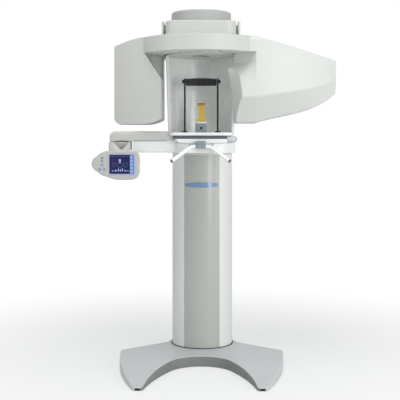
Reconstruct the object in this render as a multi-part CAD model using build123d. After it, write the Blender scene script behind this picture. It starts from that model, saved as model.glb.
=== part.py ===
from build123d import *
import math
import os

# Cone-beam CT scanner on a floor stand. Millimetres, +Z up, the patient stands on the -Y side.
# The origin lies on the floor under the axis of the lift column.

# Driving sizes of the stand
column_radius = 155.0
column_wall = 5.0
column_top = 1030.0
panel_half_angle = 35.0
panel_seam = 1.2
ledge_thickness = 4.0
ledge_angle = 6.0
base_height = 52.0
base_toe_height = 16.0
base_wall = 5.0
base_floor_gap = 1.5
base_boss_radius = 175.0
base_corner_x = 404.0
base_corner_y = -175.0
base_side_x = 377.0
base_side_y = -455.0
toe_outer_x = 298.0
toe_inner_x = 254.0
toe_y = -727.0
arch_front_y = -305.0
arch_knee_x = 150.0
arch_knee_y = -405.0
arch_side_x = 217.0
arch_side_y = -570.0
base_slope_start_y = -320.0
base_corner_fillet = 38.0
toe_fillet = 12.0
waist_fillet = 60.0
pad_thickness = 4.0
pad_radius = 22.0
plate_thickness = 8.0
plate_toe_margin = 45.0
gland_radius = 10.0
gland_x = 0.0
gland_z = 26.0
fit_gap = 0.3

# Driving sizes of the lift
mast_radius = 128.0
mast_wall = 6.0
mast_top_gap = 10.0
lift_tube_radius = 118.0
lift_tube_wall = 5.0
lift_tube_length = 900.0
lift_stroke = 550.0
slide_gap = 0.05
guide_pad_height = 60.0
guide_pad_angle = 50.0
flange_radius = 145.0
flange_thickness = 12.0
flange_bolt_circle = 136.5
flange_bolt_radius = 3.5
flange_bolt_count = 8
rod_radius = 15.0
cylinder_radius = 26.0
cylinder_bore_gap = 2.0
cylinder_cap = 20.0
cylinder_top = 960.0
rod_length = 700.0
motor_size = 90.0
motor_height = 110.0
ring_height = 10.0
ring_lip_gap = 1.0

# Driving sizes of the blue lens
lens_height_at = 878.0
lens_thickness = 26.0
lens_end_height = 15.0
lens_half_angle = 32.5
lens_proud = 1.0

# Driving sizes of the carriage
axis_y = -350.0
carriage_bottom = 1044.0
carriage_height = 48.0
cover_rear_radius = 172.0
cover_front_radius = 165.0
cover_wall = 4.0
cover_lift_gap = 1.0
recess_half_width = 60.0
recess_depth = 24.0
bracket_rear_radius = 125.0
bracket_wall = 10.0
bracket_floor = 12.0
rib_thickness = 10.0

# Driving sizes of the niche shell
shell_bottom_radius = 156.0
shell_top_radius = 170.0
shell_wall = 10.0
shell_front_lip = 6.0
ceiling_bottom = 1508.0
ceiling_thickness = 4.0
ceiling_radius = 172.0

# Driving sizes of the hub and its bearing
hub_disc_radius = 168.0
hub_disc_thickness = 8.0
boss_radius = 70.0
boss_top_radius = 62.0
boss_bore_radius = 45.0
race_height = 20.0
inner_race_thickness = 16.0
race_gap = 2.0
outer_race_thickness = 12.0
ball_radius = 6.0
ball_gap = 0.05
ball_count = 24
race_foot_gap = 2.0

# Driving sizes of the ring drive
gear_module = 3.0
ring_teeth = 72
pinion_teeth = 14
gear_width = 10.0
gear_pressure_angle = 20.0
gear_addendum = 0.85
gear_dedendum = 1.25
gear_backlash = 0.5
gear_lift = 4.0
gear_web = 5.0
gear_rim = 10.0
gear_spokes = 6
pinion_angle = 135.0
pinion_extra = 1.0
motor_shaft_radius = 6.0
drive_motor_radius = 26.0

# Driving sizes of the gantry ring
ring_radius = 300.0
ring_bottom = 1512.0
ring_depth = 73.0
ring_wall = 4.0
ring_bore_radius = 178.0
ring_edge_fillet = 2.5
gantry_plate_radius = 295.0
gantry_plate_thickness = 10.0
plate_hole_radius = 28.0
head_gap = 3.0

# Driving sizes of the head above the ring
head_half_width = 165.0
head_half_depth = 172.0
head_height = 73.0
head_corner = 46.0
head_wall = 4.0
cheek_gap = 9.0
cheek_thickness = 11.0
cheek_front_y = -118.0
cheek_rear_y = 150.0
cap_radius = 143.5
cap_height = 55.0
cap_wall = 3.0
cap_fillet = 9.0

# Driving sizes of the tube housing, measured from the turning axis
tube_inner_x = 186.0
tube_outer_x = 412.0
tube_inner_half_depth = 165.0
tube_outer_half_depth = 66.0
tube_bottom = 1180.0
tube_chamfer = 25.0
tube_belly_width = 84.0
tube_shoulder_x = 275.0
tube_outer_top = 1545.0
tube_middle_x = 345.0
tube_middle_top = 1571.0
tube_corner_fillet = 14.0
housing_wall = 4.0
housing_seam_y = 20.0
notch_outer_x = 264.5
notch_bottom = 1393.0
notch_depth = 225.0

# Driving sizes of the detector housing, measured from the turning axis
detector_clear_radius = 190.0
detector_start_x = 120.0
detector_corner_x = 256.0
detector_half_depth = 196.0
detector_tail_x = 641.0
detector_bottom = 1186.0
detector_crease = 1303.0
detector_middle_x = 420.0
detector_middle_half_depth = 168.0
detector_middle_top = 1541.0
detector_middle_crease = 1328.0
detector_middle_bottom = 1226.0
detector_late_x = 545.0
detector_late_half_depth = 120.0
detector_late_top = 1507.0
detector_late_crease = 1354.0
detector_late_bottom = 1264.0
detector_tail_half_depth = 52.0
detector_tail_top = 1483.0
detector_tail_crease = 1388.0
detector_tail_bottom = 1327.0
detector_keel_share = 0.5

# Driving sizes of the dark facet and of the hollow cheek above it
facet_corner_x = 192.0
facet_corner_depth = 201.0
facet_low_height = 1210.0
facet_low_angle = 32.6
facet_tip_height = 1436.0
facet_tip_angle = 48.0
cheek_start_height = 1289.0
cheek_full_height = 1381.0
cheek_top_height = 1466.0
cheek_root_angle = 34.0
cheek_steps = 8

# Driving sizes of the parts inside the housings
beam_below_ring = 167.0
tube_head_half = 75.0
tube_head_height = 170.0
tube_head_depth = 72.0
tube_head_slant = 36.0
tube_fin_count = 4
tube_fin_pitch = 27.0
hanger_x = 268.0
hanger_thickness = 10.0
hanger_half_width = 70.0
collimator_depth = 8.0
detector_drum_radius = 112.0
detector_drum_start = 206.0
detector_drum_wall = 6.0
detector_drum_length = 200.0
detector_hanger_x = 250.0
clamp_ring_thickness = 10.0
clamp_ring_width = 14.0

# Driving sizes of the tray
tray_half_width = 148.0
tray_front_depth = 160.0
tray_corner = 40.0
tray_bottom = 1092.0
tray_lip_height = 18.0
slot_height = 16.0
slot_inset = 16.0
tray_plate_height = 14.0
tray_left_cut = 46.0
tray_inner_gap = 1.0
tray_knob_radius = 15.5
tray_knob_length = 43.0
tray_knob_lobes = 6
tray_knob_start = 121.0
tray_knob_y = -481.0
tray_knob_z = 1109.5
tray_shaft_radius = 5.0
tray_shaft_length = 40.0

# Driving sizes of the head support
support_x = 79.0
support_y = -362.0
support_rod_radius = 4.0
support_rod_top = 1386.0
support_rod_bottom = 1096.0
bush_radius = 9.0
bush_height = 8.0
band_bottom = 1366.0
band_height = 37.0
band_thickness = 7.0
band_bow = 14.0
band_crown = 5.0
band_end_gap = 2.0
band_eye_radius = 9.0
pivot_radius = 2.5
band_knob_radius = 9.0
band_knob_length = 9.0

# Driving sizes of the bite block
bite_y = -385.0
holder_width = 53.0
holder_depth = 34.0
holder_height = 44.0
holder_cap_height = 9.0
bite_width = 24.0
bite_thickness = 7.0
bite_height = 86.0
bite_foot_width = 46.0
bite_foot_height = 18.0
bite_plug_depth = 12.0
release_radius = 6.0
release_travel = 2.0

# Driving sizes of the handle
handle_radius = 8.5
handle_wall = 2.0
handle_y = -526.0
handle_below_tray = 18.0
handle_flat_half = 44.0
handle_end_x = 131.0
handle_end_y = -572.0
handle_end_z = 1010.0
handle_bend = 30.0
clamp_width = 47.0
clamp_rise = 8.0
clamp_drop = 9.0
handle_cap_length = 5.0

# Driving sizes of the control panel arm
beam_left_x = -322.0
beam_right_x = -150.0
beam_bottom = 1046.0
beam_half_depth = 34.0
beam_y = -424.0
beam_depth = 57.0
arm_fillet = 7.0
rail_left_x = -430.0
rail_right_x = -122.0
rail_height = 43.0
rail_half_depth = 40.0
rail_corner = 26.0
rail_edge = 9.0
neck_left_x = -428.0
neck_right_x = -330.0
neck_gap = 1.0
neck_drop = 74.0
neck_wall = 12.0
swivel_pin_radius = 12.0
swivel_pin_length = 22.0

# Driving sizes of the control panel
panel_face_y = -560.0
panel_front_depth = 17.0
panel_back_depth = 16.0
panel_pivot_z = 1020.0
panel_pivot_x = -377.0
lug_radius = 10.0
lug_width = 14.0
lug_spacing = 56.0
tilt_pin_radius = 4.0
screen_left_x = -419.5
screen_right_x = -306.5
screen_bottom = 949.0
screen_top = 1037.5
screen_thickness = 3.0
bezel_border = 7.0
bezel_ledge = 4.0
bezel_corner = 5.0
button_radius = 4.6
button_travel = 1.2
button_proud = 2.0
button_length = 10.0
button_gap = 0.25
panel_groove = 3.0
button_places = [(-452.6, 1023.0), (-452.6, 1008.5), (-452.6, 990.0), (-463.0, 970.5), (-442.4, 970.5)]
panel_lobes = [
    (-471.0, 990.0, 30.5), (-432.0, 1004.0, 50.0), (-322.0, 1012.0, 44.5),
    (-336.0, 966.0, 47.5), (-440.0, 985.0, 45.0),
]


# Long enough to cut right through any piece
through = 1000.0

# Places that follow from the driving sizes
plate_bottom = pad_thickness
plate_top = plate_bottom + plate_thickness
mast_bottom = plate_top + flange_thickness
mast_top = column_top - mast_top_gap
carriage_top = carriage_bottom + carriage_height
bracket_bottom = carriage_bottom + cover_wall + 2.0
bracket_top = carriage_top - cover_wall - 2.0
hub_bottom = ceiling_bottom + ceiling_thickness
hub_top = hub_bottom + hub_disc_thickness
race_top = hub_top + race_height
gantry_plate_bottom = race_top
gantry_plate_top = gantry_plate_bottom + gantry_plate_thickness
gear_bottom = gantry_plate_top + gear_lift
gear_top = gear_bottom + gear_width
ring_top = ring_bottom + ring_depth
head_bottom = ring_top + head_gap
head_top = head_bottom + head_height
inner_race_radius = boss_radius + inner_race_thickness
outer_race_inner = inner_race_radius + race_gap
outer_race_outer = outer_race_inner + outer_race_thickness
ball_circle = inner_race_radius + race_gap / 2
ball_height = hub_top + race_foot_gap + (race_height - race_foot_gap) / 2
gear_pitch_radius = gear_module * ring_teeth / 2
pinion_pitch_radius = gear_module * pinion_teeth / 2
drive_centre_distance = gear_pitch_radius + pinion_pitch_radius
drive_x = drive_centre_distance * math.cos(math.radians(pinion_angle))
drive_y = axis_y + drive_centre_distance * math.sin(math.radians(pinion_angle))
slot_bottom = tray_bottom + tray_lip_height
slot_top = slot_bottom + slot_height
tray_top_height = slot_top + tray_plate_height
rail_bottom = beam_bottom + beam_depth
beam_height = ring_bottom - beam_below_ring
handle_height = tray_bottom - handle_below_tray
clamp_top = tray_bottom + clamp_rise
panel_seam_y = panel_face_y + panel_front_depth
panel_back_y = panel_seam_y + panel_back_depth


# Small helpers

def save(shape, name):
    export_step(shape, f"parts/{name}.step")


def disc(radius, bottom, top, x=0.0, y=0.0):
    return Pos(x, y, bottom) * extrude(Circle(radius), top - bottom)


def tube(outer, inner, bottom, top, x=0.0, y=0.0):
    return Pos(x, y, bottom) * extrude(Circle(outer) - Circle(inner), top - bottom)


def block(x0, x1, y0, y1, z0, z1):
    centre = Pos((x0 + x1) / 2, (y0 + y1) / 2, (z0 + z1) / 2)
    return centre * Box(x1 - x0, y1 - y0, z1 - z0)


def axle(radius, x0, x1, y, z):
    return Pos((x0 + x1) / 2, y, z) * Rot(0, 90, 0) * Cylinder(radius, x1 - x0)


def rod_y(radius, y0, y1, x, z):
    return Pos(x, (y0 + y1) / 2, z) * Rot(90, 0, 0) * Cylinder(radius, y1 - y0)


def polar(radius, degrees):
    angle = math.radians(degrees)
    return (radius * math.cos(angle), radius * math.sin(angle))


def sector(outer, inner, start, end):
    # Plan of a ring piece between two angles.
    middle = (start + end) / 2
    outer_arc = ThreePointArc(polar(outer, start), polar(outer, middle), polar(outer, end))
    inner_arc = ThreePointArc(polar(inner, end), polar(inner, middle), polar(inner, start))
    sides = [Line(outer_arc @ 1, inner_arc @ 0), Line(inner_arc @ 1, outer_arc @ 0)]
    return make_face([outer_arc, sides[0], inner_arc, sides[1]])


def side_profile(points, half_width, x=0.0):
    # Closed outline in Y and Z, extruded across X about the given place.
    outline = make_face(Polyline(*points, close=True))
    return Pos(x, 0, 0) * extrude(Plane.YZ * outline, half_width, both=True)


def front_profile(points, y0, y1):
    # Closed outline in X and Z, extruded along Y.
    outline = make_face(Polyline(*points, close=True))
    return Pos(0, y1, 0) * extrude(Plane.XZ * outline, y1 - y0)


# Stand

def base_plan(inset):
    arch_left = ThreePointArc((-toe_inner_x, toe_y), (-arch_side_x, arch_side_y), (-arch_knee_x, arch_knee_y))
    arch = ThreePointArc((-arch_knee_x, arch_knee_y), (0, arch_front_y), (arch_knee_x, arch_knee_y))
    arch_right = ThreePointArc((arch_knee_x, arch_knee_y), (arch_side_x, arch_side_y), (toe_inner_x, toe_y))
    toe_right = Line((toe_inner_x, toe_y), (toe_outer_x, toe_y))
    side_right = ThreePointArc((toe_outer_x, toe_y), (base_side_x, base_side_y), (base_corner_x, base_corner_y))
    rear = Polyline((base_corner_x, base_corner_y), (0, base_boss_radius * 0.85), (-base_corner_x, base_corner_y))
    side_left = ThreePointArc((-base_corner_x, base_corner_y), (-base_side_x, base_side_y), (-toe_outer_x, toe_y))
    toe_left = Line((-toe_outer_x, toe_y), (-toe_inner_x, toe_y))
    boomerang = make_face([arch_left, arch, arch_right, toe_right, side_right, *rear.edges(), side_left, toe_left])
    plan = boomerang + Circle(base_boss_radius)
    corners = plan.vertices().filter_by(lambda v: abs(abs(v.X) - base_corner_x) < 1)
    plan = fillet(corners, base_corner_fillet)
    toes = plan.vertices().filter_by(lambda v: v.Y < toe_y + 1)
    plan = fillet(toes, toe_fillet)
    waist = plan.vertices().filter_by(lambda v: abs(math.hypot(v.X, v.Y) - base_boss_radius) < 0.5 and v.Y > 0)
    plan = fillet(waist.filter_by(lambda v: abs(v.X) > 20), waist_fillet)
    return offset(plan, -inset) if inset else plan


def base_height_profile(drop):
    slope = Spline(
        (base_slope_start_y, base_height - drop),
        (toe_y, base_toe_height - drop),
        tangents=[(-1, 0), (-1, -0.22)],
    )
    rear_y = base_boss_radius + 20
    front_y = toe_y - 20
    outline = make_face([
        Line((rear_y, 0), (rear_y, base_height - drop)),
        Line((rear_y, base_height - drop), (base_slope_start_y, base_height - drop)),
        slope,
        Line((toe_y, base_toe_height - drop), (front_y, base_toe_height - drop - 4)),
        Line((front_y, base_toe_height - drop - 4), (front_y, 0)),
        Line((front_y, 0), (rear_y, 0)),
    ])
    return extrude(Plane.YZ * outline, base_corner_x + 40, both=True)


def base_solid(inset, drop, bottom):
    body = extrude(base_plan(inset), base_height)
    body = body & base_height_profile(drop)
    return body - block(-through, through, -through, through, -1, bottom)


def make_base_cover():
    outer = base_solid(0, 0, base_floor_gap)
    outer = round_top(outer, 3.0)
    inner = base_solid(base_wall, base_wall, 0)
    cover = outer - inner
    opening = disc(column_radius - column_wall - 8, 0, base_height + 1)
    gland_hole = rod_y(gland_radius, base_boss_radius - 30, base_boss_radius + 30, gland_x, gland_z)
    return cover - opening - gland_hole


def round_top(body, radius):
    # Rounds the upper rim where the top surface meets the side walls.
    tops = body.faces().filter_by(lambda f: f.normal_at().Z > 0.5)
    rim = [e for f in tops for e in f.edges() if side_edge(e, tops)]
    return fillet(rim, radius)


def side_edge(edge, tops):
    owners = sum(1 for f in tops if any(e.is_same(edge) for e in f.edges()))
    return owners == 1


def make_base_plate():
    plan = base_plan(base_wall + fit_gap)
    plate = Pos(0, 0, plate_bottom) * extrude(plan, plate_thickness)
    plate -= block(-through, through, toe_y - 50, toe_y + plate_toe_margin, 0, base_height)
    for x, y in flange_bolt_places():
        plate -= disc(flange_bolt_radius, plate_bottom - 1, plate_top + 1, x, y)
    return plate


def make_floor_pads():
    places = [(-268, toe_y + 90), (268, toe_y + 90), (-355, -215), (355, -215), (0, 0)]
    return Compound([disc(pad_radius, 0, pad_thickness, x, y) for x, y in places])


def flange_bolt_places():
    step = 360 / flange_bolt_count
    return [polar(flange_bolt_circle, step * i + step / 2) for i in range(flange_bolt_count)]


def make_column_flange():
    flange = disc(flange_radius, plate_top, mast_bottom)
    for x, y in flange_bolt_places():
        flange -= disc(flange_bolt_radius, plate_top - 1, mast_bottom + 1, x, y)
    return flange


def make_mast():
    return tube(mast_radius, mast_radius - mast_wall, mast_bottom, mast_top) + make_column_flange()


def make_guide_pads():
    outer = mast_radius - mast_wall - 0.1
    inner = lift_tube_radius + slide_gap
    pads = []
    for i in range(4):
        start = 90 * i - guide_pad_angle / 2
        pad = extrude(sector(outer, inner, start, start + guide_pad_angle), guide_pad_height)
        pads.append(Pos(0, 0, mast_top - guide_pad_height - 6) * pad)
    return Compound(pads)


def make_actuator():
    half = motor_size / 2
    motor = block(-half, half, -half, half, mast_bottom, mast_bottom + motor_height)
    motor = fillet(motor.edges().filter_by(Axis.Z), 10)
    body = motor + disc(cylinder_radius, mast_bottom + motor_height - 1, cylinder_top)
    bore_top = cylinder_top - cylinder_cap
    bore = disc(rod_radius + cylinder_bore_gap, mast_bottom + motor_height + 20, bore_top)
    return body - bore - disc(rod_radius + slide_gap, bore_top - 1, cylinder_top + 1)


def make_push_rod():
    return disc(rod_radius, bracket_bottom - rod_length, bracket_bottom)


def make_column_shell():
    front = 270
    inner = column_radius - column_wall
    start = front + panel_half_angle
    end = front - panel_half_angle + 360
    shell = extrude(sector(column_radius, inner, start, end), column_top - base_height)
    ledges = []
    for side in (-1, 1):
        middle = front + side * panel_half_angle
        plan = sector(inner, inner - ledge_thickness, middle - ledge_angle, middle + ledge_angle)
        ledges.append(extrude(plan, column_top - base_height))
    return Pos(0, 0, base_height) * (shell + ledges[0] + ledges[1])


def panel_solid(outer, inner, half_angle, bottom, top):
    plan = sector(outer, inner, 270 - half_angle, 270 + half_angle)
    return Pos(0, 0, bottom) * extrude(plan, top - bottom)


def lens_cutter(grow):
    half_width = column_radius * math.sin(math.radians(lens_half_angle)) + grow
    half_height = lens_thickness / 2 + grow
    end = lens_end_height / 2 + grow
    upper = ThreePointArc((-half_width, end), (0, half_height), (half_width, end))
    lower = ThreePointArc((half_width, -end), (0, -half_height), (-half_width, -end))
    outline = make_face([upper, Line(upper @ 1, lower @ 0), lower, Line(lower @ 1, upper @ 0)])
    outline = fillet(outline.vertices(), 4)
    return Pos(0, 0, lens_height_at) * extrude(Plane.XZ * outline, column_radius + 40)


def make_front_panel():
    gap_angle = math.degrees(panel_seam / column_radius)
    panel = panel_solid(
        column_radius, column_radius - column_wall + fit_gap, panel_half_angle - gap_angle,
        base_height, column_top,
    )
    return panel - lens_cutter(fit_gap)


def make_lens():
    blank = panel_solid(
        column_radius + lens_proud, column_radius - column_wall + fit_gap, lens_half_angle + 2,
        lens_height_at - lens_thickness, lens_height_at + lens_thickness,
    )
    return blank & lens_cutter(0)


def make_top_ring():
    ring = tube(column_radius, lift_tube_radius + ring_lip_gap, column_top, column_top + ring_height)
    upper = ring.edges().filter_by(GeomType.CIRCLE).filter_by(lambda e: e.center().Z > column_top + 1)
    return fillet(upper.filter_by(lambda e: e.radius > mast_radius), 4)


def make_cable_gland():
    nut = Pos(gland_x, 0, gland_z) * Rot(90, 0, 0) * extrude(RegularPolygon(14, 6), -6)
    rear_y = base_boss_radius
    body = Pos(0, rear_y, 0) * nut
    body += rod_y(gland_radius - fit_gap, rear_y - 20, rear_y + 1, gland_x, gland_z)
    body += rod_y(8, rear_y + 5, rear_y + 16, gland_x, gland_z)
    return body - rod_y(4.5, rear_y - 21, rear_y + 17, gland_x, gland_z)


# Carriage

def make_lift_tube():
    top = bracket_bottom
    return tube(lift_tube_radius, lift_tube_radius - lift_tube_wall, top - lift_tube_length, top)


def carriage_plan(rear, front):
    circles = Circle(rear) + Pos(0, axis_y) * Circle(front)
    return make_hull(circles.edges())


def make_carriage_bracket():
    rim_outer = shell_bottom_radius
    outer = extrude(carriage_plan(bracket_rear_radius, rim_outer), bracket_top - bracket_bottom)
    inner_plan = carriage_plan(bracket_rear_radius - bracket_wall, rim_outer - bracket_wall)
    inner = Pos(0, 0, bracket_floor) * extrude(inner_plan, bracket_top)
    trough = Pos(0, 0, bracket_bottom) * (outer - inner)
    for y in (-90, -200):
        rib = block(-shell_bottom_radius, shell_bottom_radius, y, y + rib_thickness, bracket_bottom, bracket_top)
        envelope = Pos(0, 0, bracket_bottom) * outer
        trough += rib & envelope
    front_y = axis_y - cover_front_radius
    channel = recess_solid(cover_wall + 3, bracket_bottom - 1, bracket_top + 1, front_y)
    return trough - channel


def recess_solid(grow, bottom, top, front_y):
    # Upright channel with round corners in the front of the carriage.
    half = recess_half_width + grow
    plan = Rectangle(2 * half, 2 * (recess_depth + grow))
    plan = fillet(plan.vertices(), 18)
    return Pos(0, front_y, bottom) * extrude(plan, top - bottom)


def make_carriage_cover():
    height = carriage_height
    outer = Pos(0, 0, carriage_bottom) * extrude(carriage_plan(cover_rear_radius, cover_front_radius), height)
    upper = outer.edges().filter_by(lambda e: e.center().Z > carriage_top - 1)
    outer = fillet(upper, 8)
    front_y = axis_y - cover_front_radius
    outer -= recess_solid(0, carriage_bottom - 1, carriage_top + 1, front_y)
    plan = carriage_plan(cover_rear_radius - cover_wall, cover_front_radius - cover_wall)
    inner = Pos(0, 0, carriage_bottom + cover_wall) * extrude(plan, height - 2 * cover_wall)
    inner -= recess_solid(cover_wall, carriage_bottom - 1, carriage_top + 1, front_y)
    cover = outer - inner
    cover -= disc(lift_tube_radius + cover_lift_gap, carriage_bottom - 1, carriage_bottom + cover_wall + 1)
    opening = disc(shell_bottom_radius + 1.5, carriage_top - cover_wall - 1, carriage_top + 1, 0, axis_y)
    opening -= recess_solid(cover_wall, carriage_bottom - 1, carriage_top + 2, front_y)
    return cover - opening + make_arm_beam()


def shell_cone(bottom_radius, top_radius):
    height = ceiling_bottom - bracket_top
    cone = Pos(0, axis_y, bracket_top + height / 2) * Cone(bottom_radius, top_radius, height)
    return cone


def make_niche_shell():
    outer = shell_cone(shell_bottom_radius, shell_top_radius)
    inner = shell_cone(shell_bottom_radius - shell_wall, shell_top_radius - shell_wall)
    shell = outer - inner
    front = axis_y - shell_front_lip
    return shell - block(-300, 300, front - 300, front, bracket_top - 1, ceiling_bottom + 1)


def make_niche_ceiling():
    return tube(ceiling_radius, boss_bore_radius, ceiling_bottom, hub_bottom, 0, axis_y)


def make_hub():
    hub = disc(hub_disc_radius, hub_bottom, hub_top, 0, axis_y)
    hub += disc(boss_radius, hub_bottom, gear_bottom, 0, axis_y)
    hub += disc(boss_top_radius, hub_bottom, head_bottom, 0, axis_y)
    return hub - disc(boss_bore_radius, hub_bottom - 1, head_bottom + 1, 0, axis_y)


def raceway(radius):
    return Pos(0, axis_y, ball_height) * Torus(ball_circle, radius)


def make_inner_race():
    race = tube(inner_race_radius, boss_radius + slide_gap, hub_top, race_top, 0, axis_y)
    return race - raceway(ball_radius + ball_gap)


def make_outer_race():
    bottom = hub_top + race_foot_gap
    race = tube(outer_race_outer, outer_race_inner, bottom, race_top, 0, axis_y)
    return race - raceway(ball_radius + ball_gap)


def make_balls():
    balls = []
    for i in range(ball_count):
        x, y = polar(ball_circle, 360 / ball_count * i)
        balls.append(Pos(x, axis_y + y, ball_height) * Sphere(ball_radius))
    return Compound(balls)


# Ring drive

def involute(angle):
    return math.tan(angle) - angle


def tooth_half_angle(radius, pitch_radius):
    # Half the angle that one tooth takes up at a radius, along its involute flank.
    pressure = math.radians(gear_pressure_angle)
    at_pitch = (math.pi * gear_module / 2 - gear_backlash) / 2 / pitch_radius
    base_radius = pitch_radius * math.cos(pressure)
    local = math.acos(min(1.0, base_radius / radius))
    return math.degrees(at_pitch + involute(pressure) - involute(local))


def gear_plan(teeth, phase):
    pitch_radius = gear_module * teeth / 2
    tip = pitch_radius + gear_addendum * gear_module
    root = pitch_radius - gear_dedendum * gear_module
    foot = max(root + 0.3, pitch_radius * math.cos(math.radians(gear_pressure_angle)))
    radii = [root, foot, (foot + tip) / 2, tip]
    points = []
    for i in range(teeth):
        middle = phase + 360 / teeth * i
        rising = [(radius, -tooth_half_angle(max(radius, foot), pitch_radius)) for radius in radii]
        falling = [(radius, -angle) for radius, angle in reversed(rising)]
        points += [polar(radius, middle + angle) for radius, angle in rising + falling]
    return make_face(Polyline(*points, close=True))


def make_ring_gear():
    plan = gear_plan(ring_teeth, pinion_angle)
    gear = extrude(plan, gear_width)
    web_outer = gear_pitch_radius - 1.25 * gear_module - gear_rim
    web_inner = boss_top_radius + gear_rim
    pocket = sector(web_outer, web_inner, 6, 360 / gear_spokes - 6)
    for i in range(gear_spokes):
        gear -= Rot(0, 0, 360 / gear_spokes * i) * extrude(pocket, gear_width)
    gear -= extrude(Circle(boss_top_radius + slide_gap), gear_width)
    return Pos(0, axis_y, gear_bottom) * gear


def make_drive_pinion():
    phase = pinion_angle + 180 + 180 / pinion_teeth
    plan = gear_plan(pinion_teeth, phase)
    width = gear_width + 2 * pinion_extra
    pinion = extrude(plan, width) - extrude(Circle(motor_shaft_radius + slide_gap), width)
    return Pos(drive_x, drive_y, gear_bottom - pinion_extra) * pinion


def make_drive_motor():
    bottom = hub_top + race_foot_gap
    motor = disc(drive_motor_radius, bottom, gantry_plate_bottom, drive_x, drive_y)
    shaft_top = gear_top + pinion_extra
    return motor + disc(motor_shaft_radius, bottom, shaft_top, drive_x, drive_y)


# Gantry ring

def make_gantry_frame():
    # Ring plate on the bearing with the two welded hangers.
    return make_gantry_plate() + make_tube_bracket() + make_detector_bracket()


def make_gantry_plate():
    plate = tube(gantry_plate_radius, outer_race_inner + 4, gantry_plate_bottom, gantry_plate_top, 0, axis_y)
    middle = (gantry_plate_radius + outer_race_outer) / 2 + 18
    for i in range(10):
        x, y = polar(middle, 36 * i + 18)
        plate -= disc(plate_hole_radius, gantry_plate_bottom - 1, gantry_plate_top + 1, x, axis_y + y)
    shaft_gap = motor_shaft_radius + 0.5
    return plate - disc(shaft_gap, gantry_plate_bottom - 1, gantry_plate_top + 1, drive_x, drive_y)


def make_ring_cover():
    outer = disc(ring_radius, ring_bottom, ring_top, 0, axis_y)
    rims = outer.edges().filter_by(GeomType.CIRCLE)
    outer = fillet(rims, ring_edge_fillet)
    inner = disc(ring_radius - ring_wall, ring_bottom - 1, ring_top - ring_wall, 0, axis_y)
    return outer - inner - disc(boss_top_radius + 4, ring_bottom, ring_top + 1, 0, axis_y)


def make_ring_floor():
    outer = ring_radius - ring_wall - fit_gap
    floor = tube(outer, ring_bore_radius, ring_bottom, ring_bottom + ring_wall, 0, axis_y)
    skirt_top = gantry_plate_bottom
    floor += tube(outer, outer - ring_wall, ring_bottom, skirt_top, 0, axis_y)
    floor -= hanger_slot(-1, hanger_x, hanger_half_width)
    return floor - hanger_slot(1, detector_hanger_x, hanger_half_width)


def hanger_slot(side, x, half_width):
    x0, x1 = sorted((side * (x - 1), side * (x + hanger_thickness + 1)))
    return block(x0, x1, axis_y - half_width - 1, axis_y + half_width + 1, ring_bottom - 1, ring_bottom + 10)


# Head above the ring

def make_head_housing():
    plan = Rectangle(2 * head_half_width, 2 * head_half_depth)
    plan = fillet(plan.vertices(), head_corner)
    outer = Pos(0, axis_y, head_bottom) * extrude(plan, head_height)
    rim = outer.edges().filter_by(lambda e: e.center().Z > head_top - 0.1)
    outer = fillet(rim, 5)
    inner = offset(plan, -head_wall)
    cavity = Pos(0, axis_y, head_bottom + head_wall) * extrude(inner, head_height - 2 * head_wall)
    opening = disc(cap_radius - cap_wall - 12, head_top - head_wall - 1, head_top + 1, 0, axis_y)
    bore = disc(boss_bore_radius, head_bottom - 1, head_bottom + head_wall + 1, 0, axis_y)
    return outer - cavity - opening - bore


def make_side_panels():
    panels = []
    for side in (-1, 1):
        inner = side * (head_half_width + cheek_gap)
        outer = side * (head_half_width + cheek_gap + cheek_thickness)
        x0, x1 = sorted((inner, outer))
        y0, y1 = axis_y + cheek_front_y, axis_y + cheek_rear_y
        plate = block(x0, x1, y0, y1, head_bottom, head_top)
        plate = fillet(plate.edges().filter_by(Axis.Z), 4)
        seat0, seat1 = sorted((side * head_half_width, inner))
        for y in (axis_y - 60, axis_y + 60):
            plate += block(seat0, seat1, y - 12, y + 12, head_bottom + 14, head_top - 14)
        panels.append(plate)
    return Compound(panels)


def make_head_cap():
    outer = disc(cap_radius, head_top, head_top + cap_height, 0, axis_y)
    rim = outer.edges().filter_by(lambda e: e.center().Z > head_top + cap_height - 0.1)
    outer = fillet(rim, cap_fillet)
    return outer - disc(cap_radius - cap_wall, head_top - 1, head_top + cap_height - cap_wall, 0, axis_y)


# Tube housing

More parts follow.
